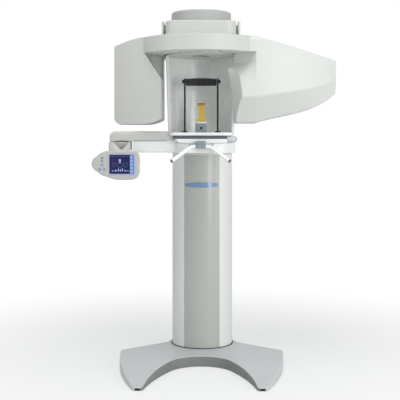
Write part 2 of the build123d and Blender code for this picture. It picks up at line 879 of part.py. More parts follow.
def tube_solid(inset):
    # The plan has a flat inner wall, slanted front and rear walls and an outer wall.
    inner_x = -(tube_inner_x + inset)
    outer_x = -(tube_outer_x - inset)
    inner_half = tube_inner_half_depth - inset * 1.1
    outer_half = tube_outer_half_depth - inset * 0.7
    bow = 10.0
    middle_x = (inner_x + outer_x) / 2
    middle_half = (inner_half + outer_half) / 2 + bow
    front = ThreePointArc((inner_x, axis_y - inner_half), (middle_x, axis_y - middle_half), (outer_x, axis_y - outer_half))
    side = ThreePointArc((outer_x, axis_y - outer_half), (outer_x - 4, axis_y), (outer_x, axis_y + outer_half))
    rear = ThreePointArc((outer_x, axis_y + outer_half), (middle_x, axis_y + middle_half), (inner_x, axis_y + inner_half))
    closing = Line((inner_x, axis_y + inner_half), (inner_x, axis_y - inner_half))
    plan = make_face([front, side, rear, closing])
    corners = plan.vertices().filter_by(lambda v: v.X < outer_x + 1)
    plan = fillet(corners, tube_corner_fillet)
    bottom = tube_bottom + inset
    body = Pos(0, 0, bottom) * extrude(plan, ring_top - bottom)
    # The face outline: rounded shoulder above, chamfers below.
    left = outer_x - 6
    shoulder = ThreePointArc(
        (-tube_shoulder_x, ring_top - inset),
        (-tube_middle_x, tube_middle_top - inset),
        (left, tube_outer_top - inset),
    )
    crease = bottom + tube_chamfer
    outline = make_face([
        shoulder,
        Line((left, tube_outer_top - inset), (left, crease)),
        Line((left, crease), (left + tube_chamfer, bottom)),
        Line((left + tube_chamfer, bottom), (inner_x - tube_belly_width, bottom)),
        ThreePointArc(
            (inner_x - tube_belly_width, bottom),
            (inner_x - tube_belly_width * 0.35, bottom + tube_chamfer * 0.38),
            (inner_x + 6, bottom + tube_chamfer * 1.12),
        ),
        Line((inner_x + 6, bottom + tube_chamfer * 1.12), (inner_x + 6, ring_top - inset)),
        Line((inner_x + 6, ring_top - inset), (-tube_shoulder_x, ring_top - inset)),
    ])
    body = body & extrude(Plane.XZ * outline, through)
    # Chamfers along the front and rear bottom edges.
    half = inner_half + 8
    belly = [
        (axis_y - half, crease), (axis_y - half + tube_chamfer, bottom),
        (axis_y + half - tube_chamfer, bottom), (axis_y + half, crease),
        (axis_y + half, ring_top + 1), (axis_y - half, ring_top + 1),
    ]
    return body & side_profile(belly, 600)


def tube_notch(inset):
    # Slanted cut at the upper inner corner of the face, below the ring.
    top = ring_bottom + 1
    slope = (ring_bottom - notch_bottom) / (notch_outer_x - tube_inner_x)
    reach = 40.0
    points = [
        (-notch_outer_x - inset, top),
        (-tube_inner_x - inset + reach, notch_bottom - reach * slope - inset),
        (-tube_inner_x + reach, top),
    ]
    front = axis_y - tube_inner_half_depth - 30
    return front_profile(points, front, front + notch_depth + inset)


def ring_envelope(grow):
    return disc(ring_radius + grow, ring_bottom - grow, ring_top + 30, 0, axis_y)


def hollow_tube_housing():
    outer = tube_solid(0) - tube_notch(0) - ring_envelope(fit_gap)
    inner = tube_solid(housing_wall) - tube_notch(housing_wall) - ring_envelope(housing_wall + fit_gap)
    housing = outer - inner
    slot = block(
        -hanger_x - hanger_thickness - 1, -hanger_x + 1,
        axis_y - hanger_half_width - 1, axis_y + hanger_half_width + 1,
        ring_bottom - 12, ring_bottom + 1,
    )
    return housing - slot


def front_half(shape):
    return shape & block(-through, through, -through, axis_y + housing_seam_y, tray_bottom, head_bottom)


def rear_half(shape):
    return shape & block(-through, through, axis_y + housing_seam_y, through, tray_bottom, head_bottom)


def make_tube_head():
    # Radiation source: finned tank with a slanted upper inner corner and the slotted collimator plate.
    x1 = -hanger_x
    x0 = x1 + tube_head_depth - collimator_depth
    z0 = beam_height - tube_head_height / 2
    z1 = beam_height + tube_head_height / 2
    head = block(x1, x0, axis_y - tube_head_half, axis_y + tube_head_half, z0, z1)
    head = fillet(head.edges().filter_by(Axis.X), 18)
    slanted = [(x0 + 1, z1 - tube_head_slant), (x0 + 1, z1 + 1), (x0 - tube_head_slant, z1 + 1)]
    head -= front_profile(slanted, axis_y - tube_head_half - 1, axis_y + tube_head_half + 1)
    for i in range(tube_fin_count):
        z = z0 + 30 + tube_fin_pitch * i
        for side in (-1, 1):
            y0, y1 = sorted((axis_y + side * (tube_head_half - 2), axis_y + side * (tube_head_half + 7)))
            head += block(x1 + 8, x0 - 8, y0, y1, z, z + 4)
    head += block(x0 - 1, x0 + collimator_depth, axis_y - 50, axis_y + 50, beam_height - 45, beam_height + 45)
    return head - block(x0, x0 + 20, axis_y - 30, axis_y + 30, beam_height - 30, beam_height + 30)


def make_tube_bracket():
    x0, x1 = -hanger_x - hanger_thickness, -hanger_x
    bottom = beam_height - tube_head_height / 2
    plate = block(x0, x1, axis_y - hanger_half_width, axis_y + hanger_half_width, bottom, gantry_plate_bottom)
    for z in (beam_height - 60, beam_height + 20):
        plate -= block(x0 - 1, x1 + 1, axis_y - 35, axis_y + 35, z, z + 40)
    return plate


# Detector housing

def detector_section(x, half_depth, top, crease, bottom, inset):
    half = half_depth - inset
    keel = (half_depth * detector_keel_share) - inset * 0.6
    points = [
        (axis_y - half, top - inset), (axis_y - half, crease + inset * 0.4), (axis_y - keel, bottom + inset),
        (axis_y + keel, bottom + inset), (axis_y + half, crease + inset * 0.4), (axis_y + half, top - inset),
    ]
    outline = make_face(Polyline(*points, close=True))
    upper = outline.vertices().filter_by(lambda v: v.Y > top - inset - 1)
    outline = fillet(upper, min(18.0, half * 0.3))
    lower = outline.vertices().filter_by(lambda v: v.Y < crease + 5)
    outline = fillet(lower, min(20.0, half * 0.22))
    return Pos(x, 0, 0) * (Plane.YZ * outline)


def detector_solid(inset):
    start = detector_section(
        detector_start_x + inset, detector_half_depth + 10, ring_top, detector_crease, detector_bottom, inset)
    corner = detector_section(
        detector_corner_x, detector_half_depth, ring_top, detector_crease, detector_bottom, inset)
    middle = detector_section(
        detector_middle_x, detector_middle_half_depth, detector_middle_top,
        detector_middle_crease, detector_middle_bottom, inset)
    late = detector_section(
        detector_late_x, detector_late_half_depth, detector_late_top,
        detector_late_crease, detector_late_bottom, inset)
    tail = detector_section(
        detector_tail_x - inset, detector_tail_half_depth, detector_tail_top,
        detector_tail_crease, detector_tail_bottom, inset)
    near = loft([start, corner], ruled=True)
    far = loft([corner, middle, late, tail])
    return near + far


def detector_clearance(inset):
    # Round space about the turning axis, where the patient's head is.
    return disc(detector_clear_radius + inset, tube_bottom - 60, ring_bottom + 1, 0, axis_y)


def facet_lean(height):
    # Angle at which the facet starts on the round space; it leans forward with height.
    share = (height - facet_low_height) / (facet_tip_height - facet_low_height)
    return facet_low_angle + (facet_tip_angle - facet_low_angle) * min(share, 1.0)


def passed(height, start, end):
    # Share of the way from one height to another, from 0 to 1.
    return max(0.0, min(1.0, (height - start) / (end - start)))


def between(first, last, share_x, share_y):
    return (first[0] + (last[0] - first[0]) * share_x, first[1] + (last[1] - first[1]) * share_y)


def facet_outline(height, grow):
    # Plan of what is cut away in front of the housing: the facet below, the hollow cheek above.
    closing = passed(height, facet_tip_height, cheek_top_height)
    tip = polar(detector_clear_radius, -facet_lean(height) + (facet_tip_angle - cheek_root_angle) * closing)
    root = polar(detector_clear_radius + 2, -cheek_root_angle)
    low_corner = (facet_corner_x, -facet_corner_depth)
    opening = 1 - math.sqrt(1 - passed(height, cheek_start_height, cheek_full_height) ** 2)
    corner = between(low_corner, (detector_corner_x, -detector_half_depth), opening, opening)
    rise = passed(height, cheek_start_height, cheek_top_height)
    elbow = between((low_corner[0] - 1, low_corner[1] + 1), root, rise ** 2, rise ** 4)
    far = -2 * detector_half_depth
    left = tip[0] - detector_start_x
    points = [tip, elbow, corner, (corner[0], far), (left, far), (left, tip[1])]
    return grown(points, grow)


def facet_heights():
    # Close together where the outline changes fast.
    rise = cheek_full_height - cheek_start_height
    round_part = [rise * math.sin(math.pi / 2 * i / cheek_steps) for i in range(cheek_steps + 1)]
    slope = (facet_tip_height - cheek_full_height) / cheek_steps
    tip_part = (cheek_top_height - facet_tip_height) / cheek_steps
    heights = [detector_bottom - 40, facet_low_height]
    heights += [cheek_start_height + z for z in round_part]
    heights += [cheek_full_height + slope * (i + 1) for i in range(cheek_steps)]
    heights += [facet_tip_height + tip_part * (i + 1) for i in range(cheek_steps)]
    return heights + [ring_bottom + 1]


def grown(points, distance):
    # Moves every side of a closed outline, listed clockwise seen from above, outwards.
    moved = []
    count = len(points)
    for i in range(count):
        (ax, ay), (bx, by), (cx, cy) = points[i - 1], points[i], points[(i + 1) % count]
        first = math.hypot(bx - ax, by - ay)
        second = math.hypot(cx - bx, cy - by)
        n1 = (-(by - ay) / first, (bx - ax) / first)
        n2 = (-(cy - by) / second, (cx - bx) / second)
        share = distance / (1 + n1[0] * n2[0] + n1[1] * n2[1])
        moved.append((bx + (n1[0] + n2[0]) * share, by + (n1[1] + n2[1]) * share))
    return moved


def facet_cut(grow):
    sections = []
    for height in facet_heights():
        plan = make_face(Polyline(*facet_outline(height, grow), close=True))
        sections.append(Pos(0, axis_y, height) * plan)
    return loft(sections, ruled=True)


def hollow_detector_housing():
    outer = detector_solid(0) - detector_clearance(0) - facet_cut(0) - ring_envelope(fit_gap)
    inner = detector_solid(housing_wall) - detector_clearance(housing_wall) - facet_cut(housing_wall * 1.3)
    inner -= ring_envelope(housing_wall + fit_gap)
    housing = outer - inner
    slot = block(
        detector_hanger_x - 1, detector_hanger_x + hanger_thickness + 1,
        axis_y - hanger_half_width - 1, axis_y + hanger_half_width + 1,
        ring_bottom - 12, ring_bottom + 1,
    )
    return housing - slot


def make_image_detector():
    start = detector_drum_start
    end = start + detector_drum_length
    drum = axle(detector_drum_radius, start, end, axis_y, beam_height)
    rear = drum.edges().filter_by(GeomType.CIRCLE).sort_by(Axis.X)[-1]
    drum = fillet(rear, 30)
    wall = detector_drum_wall
    drum -= axle(detector_drum_radius - wall, start + wall, end - 30, axis_y, beam_height)
    return drum + axle(45, end - 1, end + 80, axis_y, beam_height)


def make_detector_bracket():
    x0 = detector_hanger_x
    x1 = x0 + hanger_thickness
    outer = detector_drum_radius + fit_gap + clamp_ring_thickness
    ring = axle(outer, x0, x1, axis_y, beam_height)
    ring -= axle(detector_drum_radius + fit_gap, x0 - 1, x1 + 1, axis_y, beam_height)
    strap = block(
        x0, x1, axis_y - hanger_half_width, axis_y + hanger_half_width,
        beam_height + outer - 30, gantry_plate_bottom,
    )
    strap -= axle(detector_drum_radius + fit_gap, x0 - 1, x1 + 1, axis_y, beam_height)
    return ring + strap


# Tray

def tray_plan(half_width, depth, inner_radius, corner):
    shelf = Pos(0, axis_y - depth / 2) * Rectangle(2 * half_width, depth)
    front = shelf.vertices().filter_by(lambda v: v.Y < axis_y - depth + 1)
    shelf = fillet(front, corner)
    niche = Pos(0, axis_y) * Circle(inner_radius)
    return shelf + niche


def shell_inner_radius(z):
    share = (z - bracket_top) / (ceiling_bottom - bracket_top)
    outer = shell_bottom_radius + (shell_top_radius - shell_bottom_radius) * share
    return outer - shell_wall


def tray_slab(inset, bottom, top):
    # The shelf stops short of the shell's front edges and fills the niche behind them.
    inner = shell_inner_radius(bottom) - tray_inner_gap - inset
    front_gap = axis_y - shell_front_lip - tray_inner_gap
    plan = tray_plan(tray_half_width - inset, tray_front_depth - inset, inner, tray_corner - inset * 0.5)
    slab = Pos(0, 0, bottom) * extrude(plan, top - bottom)
    for side in (-1, 1):
        x0, x1 = sorted((side * inner, side * 200))
        slab -= block(x0, x1, front_gap, axis_y + 10, bottom - 1, top + 1)
    return slab


def knob_pocket():
    # Room for the knob at the right end, and the bore of its shaft.
    pocket = block(
        tray_knob_start - 1, 200, tray_knob_y - tray_knob_radius - 40, tray_knob_y + tray_knob_radius + 2,
        tray_bottom - 1, slot_top,
    )
    bore_start = tray_knob_start - tray_shaft_length - 1
    return pocket + axle(tray_shaft_radius + slide_gap, bore_start, tray_knob_start, tray_knob_y, tray_knob_z)


def tray_foot():
    # Front part of the rim that carries the tray on the bracket.
    ring = tube(shell_bottom_radius - 0.5, shell_bottom_radius - bracket_wall + 0.5,
                bracket_top, tray_bottom, 0, axis_y)
    ring &= block(-200, 200, axis_y - 200, axis_y - shell_front_lip - tray_inner_gap, bracket_top, tray_bottom)
    return ring - recess_solid(cover_wall + 3, bracket_top - 1, tray_bottom, axis_y - cover_front_radius)


def make_tray_base():
    slab = tray_slab(0, tray_bottom, slot_bottom) + tray_foot()
    # The left end is cut on a slant, as the lip is shorter than the plate above it.
    left = -tray_half_width
    cut = [
        (left - 10, tray_bottom - 1), (left + tray_left_cut, tray_bottom - 1),
        (left + tray_left_cut * 0.6, slot_bottom + 1), (left - 10, slot_bottom + 1),
    ]
    slab -= front_profile(cut, axis_y - tray_front_depth - 10, axis_y - shell_front_lip)
    return slab - knob_pocket() - rod_bores()


def rod_bores():
    # Blind holes in which the two support rods slide.
    radius = support_rod_radius + fit_gap
    bottom = support_rod_bottom - 1
    return Compound([disc(radius, bottom, slot_top + 1, side * support_x, support_y) for side in (-1, 1)])


def make_slot_strip():
    return tray_slab(slot_inset, slot_bottom, slot_top) - knob_pocket() - rod_bores()


def make_tray_top():
    slab = tray_slab(0, slot_top, tray_top_height)
    front = slab.faces().sort_by(Axis.Z)[-1].edges().filter_by(lambda e: e.center().Y < axis_y - 60)
    slab = fillet(front, 4)
    for side in (-1, 1):
        slab -= disc(bush_radius + fit_gap, slot_top - 1, tray_top_height + 1, side * support_x, support_y)
    return slab


def make_tray_knob():
    lobe_circle = tray_knob_radius - 4.5
    plan = Circle(tray_knob_radius - 3)
    for i in range(tray_knob_lobes):
        plan += Pos(*polar(lobe_circle, 360 / tray_knob_lobes * i)) * Circle(4.5)
    knob = extrude(plan, tray_knob_length)
    knob = fillet(knob.edges().filter_by(lambda e: e.center().Z > tray_knob_length - 0.1), 1.5)
    knob = Pos(tray_knob_start, tray_knob_y, tray_knob_z) * Rot(0, 90, 0) * knob
    shaft_start = tray_knob_start - tray_shaft_length
    return knob + axle(tray_shaft_radius, shaft_start, tray_knob_start + 1, tray_knob_y, tray_knob_z)


def make_rod_bushes():
    bushes = []
    for side in (-1, 1):
        x = side * support_x
        collar = disc(bush_radius + 3, tray_top_height, tray_top_height + bush_height, x, support_y)
        collar += disc(bush_radius, slot_top, tray_top_height + 1, x, support_y)
        collar -= disc(support_rod_radius + slide_gap, slot_top - 1, tray_top_height + bush_height + 1, x, support_y)
        bushes.append(collar)
    return Compound(bushes)


# Head support

def make_support_rods():
    rods = []
    for side in (-1, 1):
        x = side * support_x
        rod = disc(support_rod_radius, support_rod_bottom, support_rod_top, x, support_y)
        eye = axle(band_eye_radius - 2, x - 4, x + 4, support_y, support_rod_top)
        eye -= axle(pivot_radius + slide_gap, x - 5, x + 5, support_y, support_rod_top)
        rod = rod + eye
        rods.append(rod - axle(pivot_radius + slide_gap, x - 5, x + 5, support_y, support_rod_top))
    return Compound(rods)


def make_forehead_band():
    # Upright curved band between the rods, with a crowned upper edge and a pivot pin at each end.
    half = support_x - 4 - band_end_gap
    outer = ThreePointArc((-half, support_y + 3), (0, support_y + 3 + band_bow), (half, support_y + 3))
    inner = ThreePointArc((half, support_y + 3 - band_thickness), (0, support_y + 3 - band_thickness + band_bow),
                          (-half, support_y + 3 - band_thickness))
    ends = [Line(outer @ 1, inner @ 0), Line(inner @ 1, outer @ 0)]
    plan = make_face([outer, ends[0], inner, ends[1]])
    body = Pos(0, 0, band_bottom) * extrude(plan, band_height + band_crown)
    top = band_bottom + band_height
    arch = ThreePointArc((-half - 1, top - band_crown), (0, top), (half + 1, top - band_crown))
    face = make_face([
        arch, Line((half + 1, top - band_crown), (half + 1, band_bottom - 1)),
        Line((half + 1, band_bottom - 1), (-half - 1, band_bottom - 1)),
        Line((-half - 1, band_bottom - 1), (-half - 1, top - band_crown)),
    ])
    body = body & (Pos(0, 0, 0) * extrude(Plane.XZ * face, 800))
    for side in (-1, 1):
        x0, x1 = sorted((side * (half - 10), side * (support_x + 4 + band_knob_length)))
        body += axle(pivot_radius, x0, x1, support_y, support_rod_top)
        c0, c1 = sorted((side * (half - 12), side * half))
        body += axle(band_eye_radius - 3, c0, c1, support_y, support_rod_top)
    return body


def make_band_knob(side):
    x0 = side * (support_x + 4 + 0.3)
    x1 = side * (support_x + 4 + band_knob_length)
    a, b = sorted((x0, x1))
    knob = axle(band_knob_radius, a, b, support_y, support_rod_top)
    rim = knob.edges().filter_by(GeomType.CIRCLE)
    knob = fillet(rim, 2)
    for i in range(8):
        y, z = polar(band_knob_radius + 1.2, 45 * i)
        knob -= axle(2.2, a - 1, b + 1, support_y + y, support_rod_top + z)
    return knob - axle(pivot_radius + slide_gap, a - 1, b + 1, support_y, support_rod_top)


def make_bite_holder():
    z0 = tray_top_height
    z1 = z0 + holder_height
    half_w, half_d = holder_width / 2, holder_depth / 2
    body = block(-half_w, half_w, bite_y - half_d, bite_y + half_d, z0, z1)
    body = fillet(body.edges().filter_by(Axis.Z), 7)
    cap = block(-half_w + 3, half_w - 3, bite_y - half_d + 3, bite_y + half_d - 3, z1 - 0.5, z1 + holder_cap_height)
    cap = fillet(cap.edges().filter_by(Axis.Z), 6)
    body += cap
    foot_w = bite_foot_width / 2 - 6
    socket_z = z1 + holder_cap_height - bite_plug_depth
    body -= block(
        -foot_w - fit_gap, foot_w + fit_gap,
        bite_y - bite_thickness / 2 - fit_gap, bite_y + bite_thickness / 2 + fit_gap,
        socket_z, z1 + holder_cap_height + 1,
    )
    hole_depth = 14.0
    front = bite_y - half_d
    return body - rod_y(release_radius + fit_gap, front - 1, front + hole_depth, 0, z0 + holder_height / 2)


def make_bite_block():
    z0 = tray_top_height + holder_height + holder_cap_height
    foot_w = bite_foot_width / 2
    body_w = bite_width / 2
    plug_w = foot_w - 6
    z_foot = z0 + bite_foot_height
    z_top = z0 + bite_height
    arm_w = body_w + 5
    points = [
        (-plug_w, z0 - bite_plug_depth), (plug_w, z0 - bite_plug_depth), (plug_w, z0), (foot_w, z0),
        (foot_w, z0 + 6), (body_w, z_foot), (body_w, z_top - 12), (arm_w, z_top - 10), (arm_w, z_top),
        (-arm_w, z_top), (-arm_w, z_top - 10), (-body_w, z_top - 12), (-body_w, z_foot), (-foot_w, z0 + 6),
        (-foot_w, z0), (-plug_w, z0),
    ]
    half = bite_thickness / 2
    blade = front_profile(points, bite_y - half, bite_y + half)
    # The mouthpiece on top reaches towards the patient with a groove for the teeth.
    tongue = block(-arm_w, arm_w, bite_y - half - 16, bite_y + half, z_top - 10, z_top)
    tongue = fillet(tongue.edges().filter_by(Axis.Z).filter_by(lambda e: e.center().Y < bite_y - half), 7)
    groove = block(-arm_w - 1, arm_w + 1, bite_y - half - 9, bite_y - half - 5, z_top - 3, z_top + 1)
    return blade + tongue - groove


# Handle

def handle_points():
    left = (-handle_end_x, handle_end_y, handle_end_z)
    right = (handle_end_x, handle_end_y, handle_end_z)
    inner_left = (-handle_flat_half, handle_y, handle_height)
    inner_right = (handle_flat_half, handle_y, handle_height)
    return [left, inner_left, inner_right, right]


def handle_sweep(radius, inner):
    path = FilletPolyline(*handle_points(), radius=handle_bend)
    start = path @ 0
    direction = path % 0
    plane = Plane(origin=start, z_dir=direction)
    ring = Circle(radius) - Circle(inner)
    return sweep(plane * ring, path=path)


def make_handle_tube():
    return handle_sweep(handle_radius, handle_radius - handle_wall)


def make_handle_caps():
    caps = []
    for side, end, inner in ((-1, 0, 1), (1, 3, 2)):
        points = handle_points()
        tip = Vector(*points[end])
        direction = (tip - Vector(*points[inner])).normalized()
        plane = Plane(origin=tip, z_dir=direction)
        dome = plane * extrude(Circle(handle_radius), handle_cap_length)
        plug = plane * extrude(Circle(handle_radius - handle_wall - 0.1), -8)
        caps.append(dome + plug)
    return Compound(caps)


def make_handle_clamp():
    # Hooks under the tray and rises in front of its lip.
    half = clamp_width / 2
    rear = axis_y - cover_front_radius + recess_depth
    front = handle_y - handle_radius - 6
    lip_y = axis_y - tray_front_depth - fit_gap
    bottom = handle_height - clamp_drop
    side = [
        (rear, bottom), (rear, tray_bottom), (lip_y, tray_bottom), (lip_y, clamp_top),
        (front, clamp_top), (front, bottom),
    ]
    body = side_profile(side, half)
    upright = body.edges().filter_by(Axis.Z).filter_by(lambda e: e.center().Y < front + 1)
    body = fillet(upright, 8)
    return body - axle(handle_radius + slide_gap, -half - 1, half + 1, handle_y, handle_height)


# Control panel arm

def make_arm_beam():
    beam = block(
        beam_left_x, beam_right_x, beam_y - beam_half_depth, beam_y + beam_half_depth,
        beam_bottom, rail_bottom,
    )
    beam = fillet(beam.edges().filter_by(Axis.X), arm_fillet)
    beam -= block(
        beam_left_x + cover_wall, beam_right_x + 1,
        beam_y - beam_half_depth + cover_wall, beam_y + beam_half_depth - cover_wall,
        beam_bottom + cover_wall, rail_bottom - cover_wall,
    )
    inside = extrude(carriage_plan(cover_rear_radius - 2, cover_front_radius - 2), 2 * carriage_height)
    return beam - Pos(0, 0, carriage_bottom) * inside


def make_arm_rail():
    z0, z1 = rail_bottom, rail_bottom + rail_height
    rail = block(rail_left_x, rail_right_x, beam_y - rail_half_depth, beam_y + rail_half_depth, z0, z1)
    corner = rail.edges().filter_by(Axis.Y).filter_by(lambda e: e.center().Z > z0 + 1 and e.center().X < panel_pivot_x)
    rail = fillet(corner, rail_corner)
    rims = rail.edges().filter_by(lambda e: abs(e.center().Y - beam_y) > rail_half_depth - 1)
    rims = rims.filter_by(lambda e: e.center().Z > z0 + 1 and e.center().X < rail_right_x - 1)
    rail = fillet(rims, rail_edge)
    rail -= disc(swivel_pin_radius + slide_gap, z0 - 1, z0 + swivel_pin_length + 1, panel_pivot_x, beam_y)
    shell = disc(shell_bottom_radius + 4, z0 - 1, z1 + 1, 0, axis_y)
    tray = tray_slab(-1.0, z0 - 1, z1 + 1)
    return rail - shell - tray


def make_panel_neck():
    top = rail_bottom - neck_gap
    bottom = top - neck_drop
    front = panel_back_y + lug_radius + 8
    body = block(neck_left_x, neck_right_x, beam_y - beam_half_depth + 2, beam_y + beam_half_depth - 4, top - 44, top)
    body = fillet(body.edges().filter_by(Axis.Z), 8)
    # Slanted hollow in the front of the neck.
    wedge = [
        (neck_left_x + 20, top + 1), (neck_right_x - 6, top + 1), (neck_right_x - 30, top - 30),
    ]
    body -= front_profile(wedge, beam_y - beam_half_depth - 5, beam_y - beam_half_depth + 22)
    arm = block(
        panel_pivot_x - 19, panel_pivot_x + 19, front - 2, beam_y - beam_half_depth + 12,
        panel_pivot_z - 10, top - 6,
    )
    body += arm
    knuckle_y = panel_back_y + lug_radius + 2
    body += axle(lug_radius, panel_pivot_x - 20, panel_pivot_x + 20, knuckle_y, panel_pivot_z)
    body += block(
        panel_pivot_x - 20, panel_pivot_x + 20, knuckle_y, front + 4, panel_pivot_z - 10, panel_pivot_z + 10,
    )
    body -= axle(tilt_pin_radius + slide_gap, panel_pivot_x - 30, panel_pivot_x + 30, knuckle_y, panel_pivot_z)
    body += disc(swivel_pin_radius, top - 10, top + neck_gap + swivel_pin_length, panel_pivot_x, beam_y)
    return body


# Control panel

def panel_outline(inset):
    # Teardrop: the hull of five circles, with a narrow left tip.
    rounds = [edge for x, z, r in panel_lobes for edge in (Pos(x, z) * Circle(r - inset)).edges()]
    return make_hull(rounds)


def panel_slab(inset, y0, y1):
    return Pos(0, y1, 0) * extrude(Plane.XZ * panel_outline(inset), y1 - y0)


def screen_rect(grow):
    width = screen_right_x - screen_left_x + 2 * grow
    height = screen_top - screen_bottom + 2 * grow
    centre = Pos((screen_left_x + screen_right_x) / 2, (screen_bottom + screen_top) / 2)
    plan = Rectangle(width, height)
    return centre * fillet(plan.vertices(), bezel_corner)


def screen_slab(grow, y0, y1):
    return Pos(0, y1, 0) * extrude(Plane.XZ * screen_rect(grow), y1 - y0)


def make_panel_front():
    face_y = panel_face_y
    outer = panel_slab(0, face_y, panel_seam_y)
    rim = outer.edges().filter_by(lambda e: e.center().Y < face_y + 0.5)
    outer = fillet(rim, 5)
    inner = panel_slab(housing_wall, face_y + housing_wall, panel_seam_y + 1)
    body = outer - inner
    pocket = screen_slab(bezel_border + fit_gap, face_y - 1, face_y + housing_wall + 1)
    hole = button_radius + button_gap
    holes = [rod_y(hole, face_y - 1, face_y + housing_wall + 1, x, z) for x, z in button_places]
    return body - pocket - holes


def make_panel_back():
    outer = panel_slab(panel_groove, panel_seam_y, panel_back_y)
    rim = outer.edges().filter_by(lambda e: e.center().Y > panel_back_y - 0.5)
    outer = fillet(rim, 8)
    body = outer - panel_slab(panel_groove + housing_wall, panel_seam_y - 1, panel_back_y - housing_wall)
    # Rib frame that carries the screen and the buttons.
    carrier_y = panel_face_y + housing_wall + 2
    carrier = screen_slab(bezel_border, carrier_y, panel_back_y - 1)
    carrier -= screen_slab(-bezel_ledge, carrier_y - 1, panel_back_y)
    body += carrier
    for x, z in button_places:
        stop = panel_face_y + button_length
        body += rod_y(2.5, stop, panel_back_y - 1, x, z)
    knuckle_y = panel_back_y + lug_radius + 2
    for side in (-1, 1):
        x0 = panel_pivot_x + side * lug_spacing / 2
        a, b = sorted((x0 - lug_width / 2, x0 + lug_width / 2))
        body += axle(lug_radius, a, b, knuckle_y, panel_pivot_z)
        body += block(a, b, panel_back_y - 2, knuckle_y, panel_pivot_z - lug_radius, panel_pivot_z + lug_radius)
    reach = lug_spacing / 2
    return body + axle(tilt_pin_radius, panel_pivot_x - reach, panel_pivot_x + reach, knuckle_y, panel_pivot_z)


def make_bezel():
    y0 = panel_face_y - 0.5
    frame = screen_slab(bezel_border, y0, y0 + housing_wall + 2.5)
    return frame - screen_slab(0, y0 - 1, y0 + housing_wall + 3)


def make_screen():
    y0 = panel_face_y + 1.0
    return screen_slab(-fit_gap, y0, y0 + screen_thickness + 2)


def make_button(x, z):
    front = panel_face_y - button_proud
    button = rod_y(button_radius, front, front + button_length, x, z)
    rim = button.edges().filter_by(GeomType.CIRCLE).sort_by(Axis.Y)[0]
    return fillet(rim, 1)


def build():
    os.makedirs("parts", exist_ok=True)
    tube_housing = hollow_tube_housing()
    detector_housing = hollow_detector_housing()
    pieces = {
        "floor_pads": make_floor_pads(),
        "base_plate": make_base_plate(),
        "base_cover": make_base_cover(),
        "cable_gland": make_cable_gland(),
        "mast_tube": make_mast(),
        "guide_pads": make_guide_pads(),
        "actuator": make_actuator(),
        "column_shell": make_column_shell(),
        "column_front_panel": make_front_panel(),
        "column_lens": make_lens(),
        "column_top_ring": make_top_ring(),
        "push_rod": make_push_rod(),
        "lift_tube": make_lift_tube(),
        "carriage_bracket": make_carriage_bracket(),
        "carriage_cover": make_carriage_cover(),
        "niche_shell": make_niche_shell(),
        "niche_ceiling": make_niche_ceiling(),
        "hub": make_hub(),
        "bearing_inner": Compound([*make_inner_race().solids(), *make_balls().solids()]),
        "ring_gear": make_ring_gear(),
        "head_housing": make_head_housing(),
        "head_side_panels": make_side_panels(),
        "head_cap": make_head_cap(),
        "tray_base": make_tray_base(),
        "tray_slot_strip": make_slot_strip(),
        "tray_top": make_tray_top(),
        "tray_knob": make_tray_knob(),
        "rod_bushes": make_rod_bushes(),
        "bite_holder": make_bite_holder(),
        "bite_block": make_bite_block(),
        "handle_clamp": make_handle_clamp(),
        "handle_tube": make_handle_tube(),
        "handle_caps": make_handle_caps(),
        "arm_rail": make_arm_rail(),
        "support_rods": make_support_rods(),
        "forehead_band": make_forehead_band(),
        "band_knob_left": make_band_knob(-1),
        "band_knob_right": make_band_knob(1),
        "panel_neck": make_panel_neck(),
        "panel_front": make_panel_front(),
        "panel_back": make_panel_back(),
        "panel_bezel": make_bezel(),
        "panel_screen": make_screen(),
        "bearing_outer": make_outer_race(),
        "gantry_frame": make_gantry_frame(),
        "ring_cover": make_ring_cover(),
        "ring_floor": make_ring_floor(),
        "drive_motor": make_drive_motor(),
        "drive_pinion": make_drive_pinion(),
        "tube_head": make_tube_head(),
        "tube_cover_front": front_half(tube_housing),
        "tube_cover_rear": rear_half(tube_housing),
        "image_detector": make_image_detector(),
        "detector_cover_front": front_half(detector_housing),
        "detector_cover_rear": rear_half(detector_housing),
    }
    for i, (x, z) in enumerate(button_places):
        pieces[f"panel_button_{i + 1}"] = make_button(x, z)
    for name, shape in pieces.items():
        save(shape, name)
    return pieces


build()
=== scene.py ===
import math

import bpy
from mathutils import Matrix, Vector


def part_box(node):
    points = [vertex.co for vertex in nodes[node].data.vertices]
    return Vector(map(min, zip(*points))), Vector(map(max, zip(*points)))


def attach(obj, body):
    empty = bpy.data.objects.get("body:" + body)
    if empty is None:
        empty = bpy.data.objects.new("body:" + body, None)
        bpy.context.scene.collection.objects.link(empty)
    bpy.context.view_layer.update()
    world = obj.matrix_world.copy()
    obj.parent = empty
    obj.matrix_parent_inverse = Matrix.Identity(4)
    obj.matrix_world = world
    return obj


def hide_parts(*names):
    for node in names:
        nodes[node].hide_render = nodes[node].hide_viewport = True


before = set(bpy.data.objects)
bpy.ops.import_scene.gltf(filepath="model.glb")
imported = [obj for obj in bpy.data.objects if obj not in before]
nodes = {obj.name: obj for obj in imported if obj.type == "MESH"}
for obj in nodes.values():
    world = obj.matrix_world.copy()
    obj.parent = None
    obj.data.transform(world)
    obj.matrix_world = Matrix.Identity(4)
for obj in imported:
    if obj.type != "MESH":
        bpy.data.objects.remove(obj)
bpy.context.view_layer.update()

# Floor-standing cone-beam CT scanner: its finishes, its small detail pieces and a white photo studio.
# The front faces -Y and the column stands on the origin. The studio is set out in metres. The detail pieces
# are set out in millimetres, in the same frame as the CAD nodes.

mm = 0.001
gantry_axis_y = -350.0
both_sides = ((-1, "left"), (1, "right"))

# Viewpoint of the photograph, in pixels, millimetres of sensor and metres
photo_pixels = 400
focal_pixels = 890.0
sensor_width = 36.0
camera_height = 1.105
camera_distance = 4.64
camera_aside = 0.058
frame_shift_x = -0.0055
frame_shift_y = -0.15

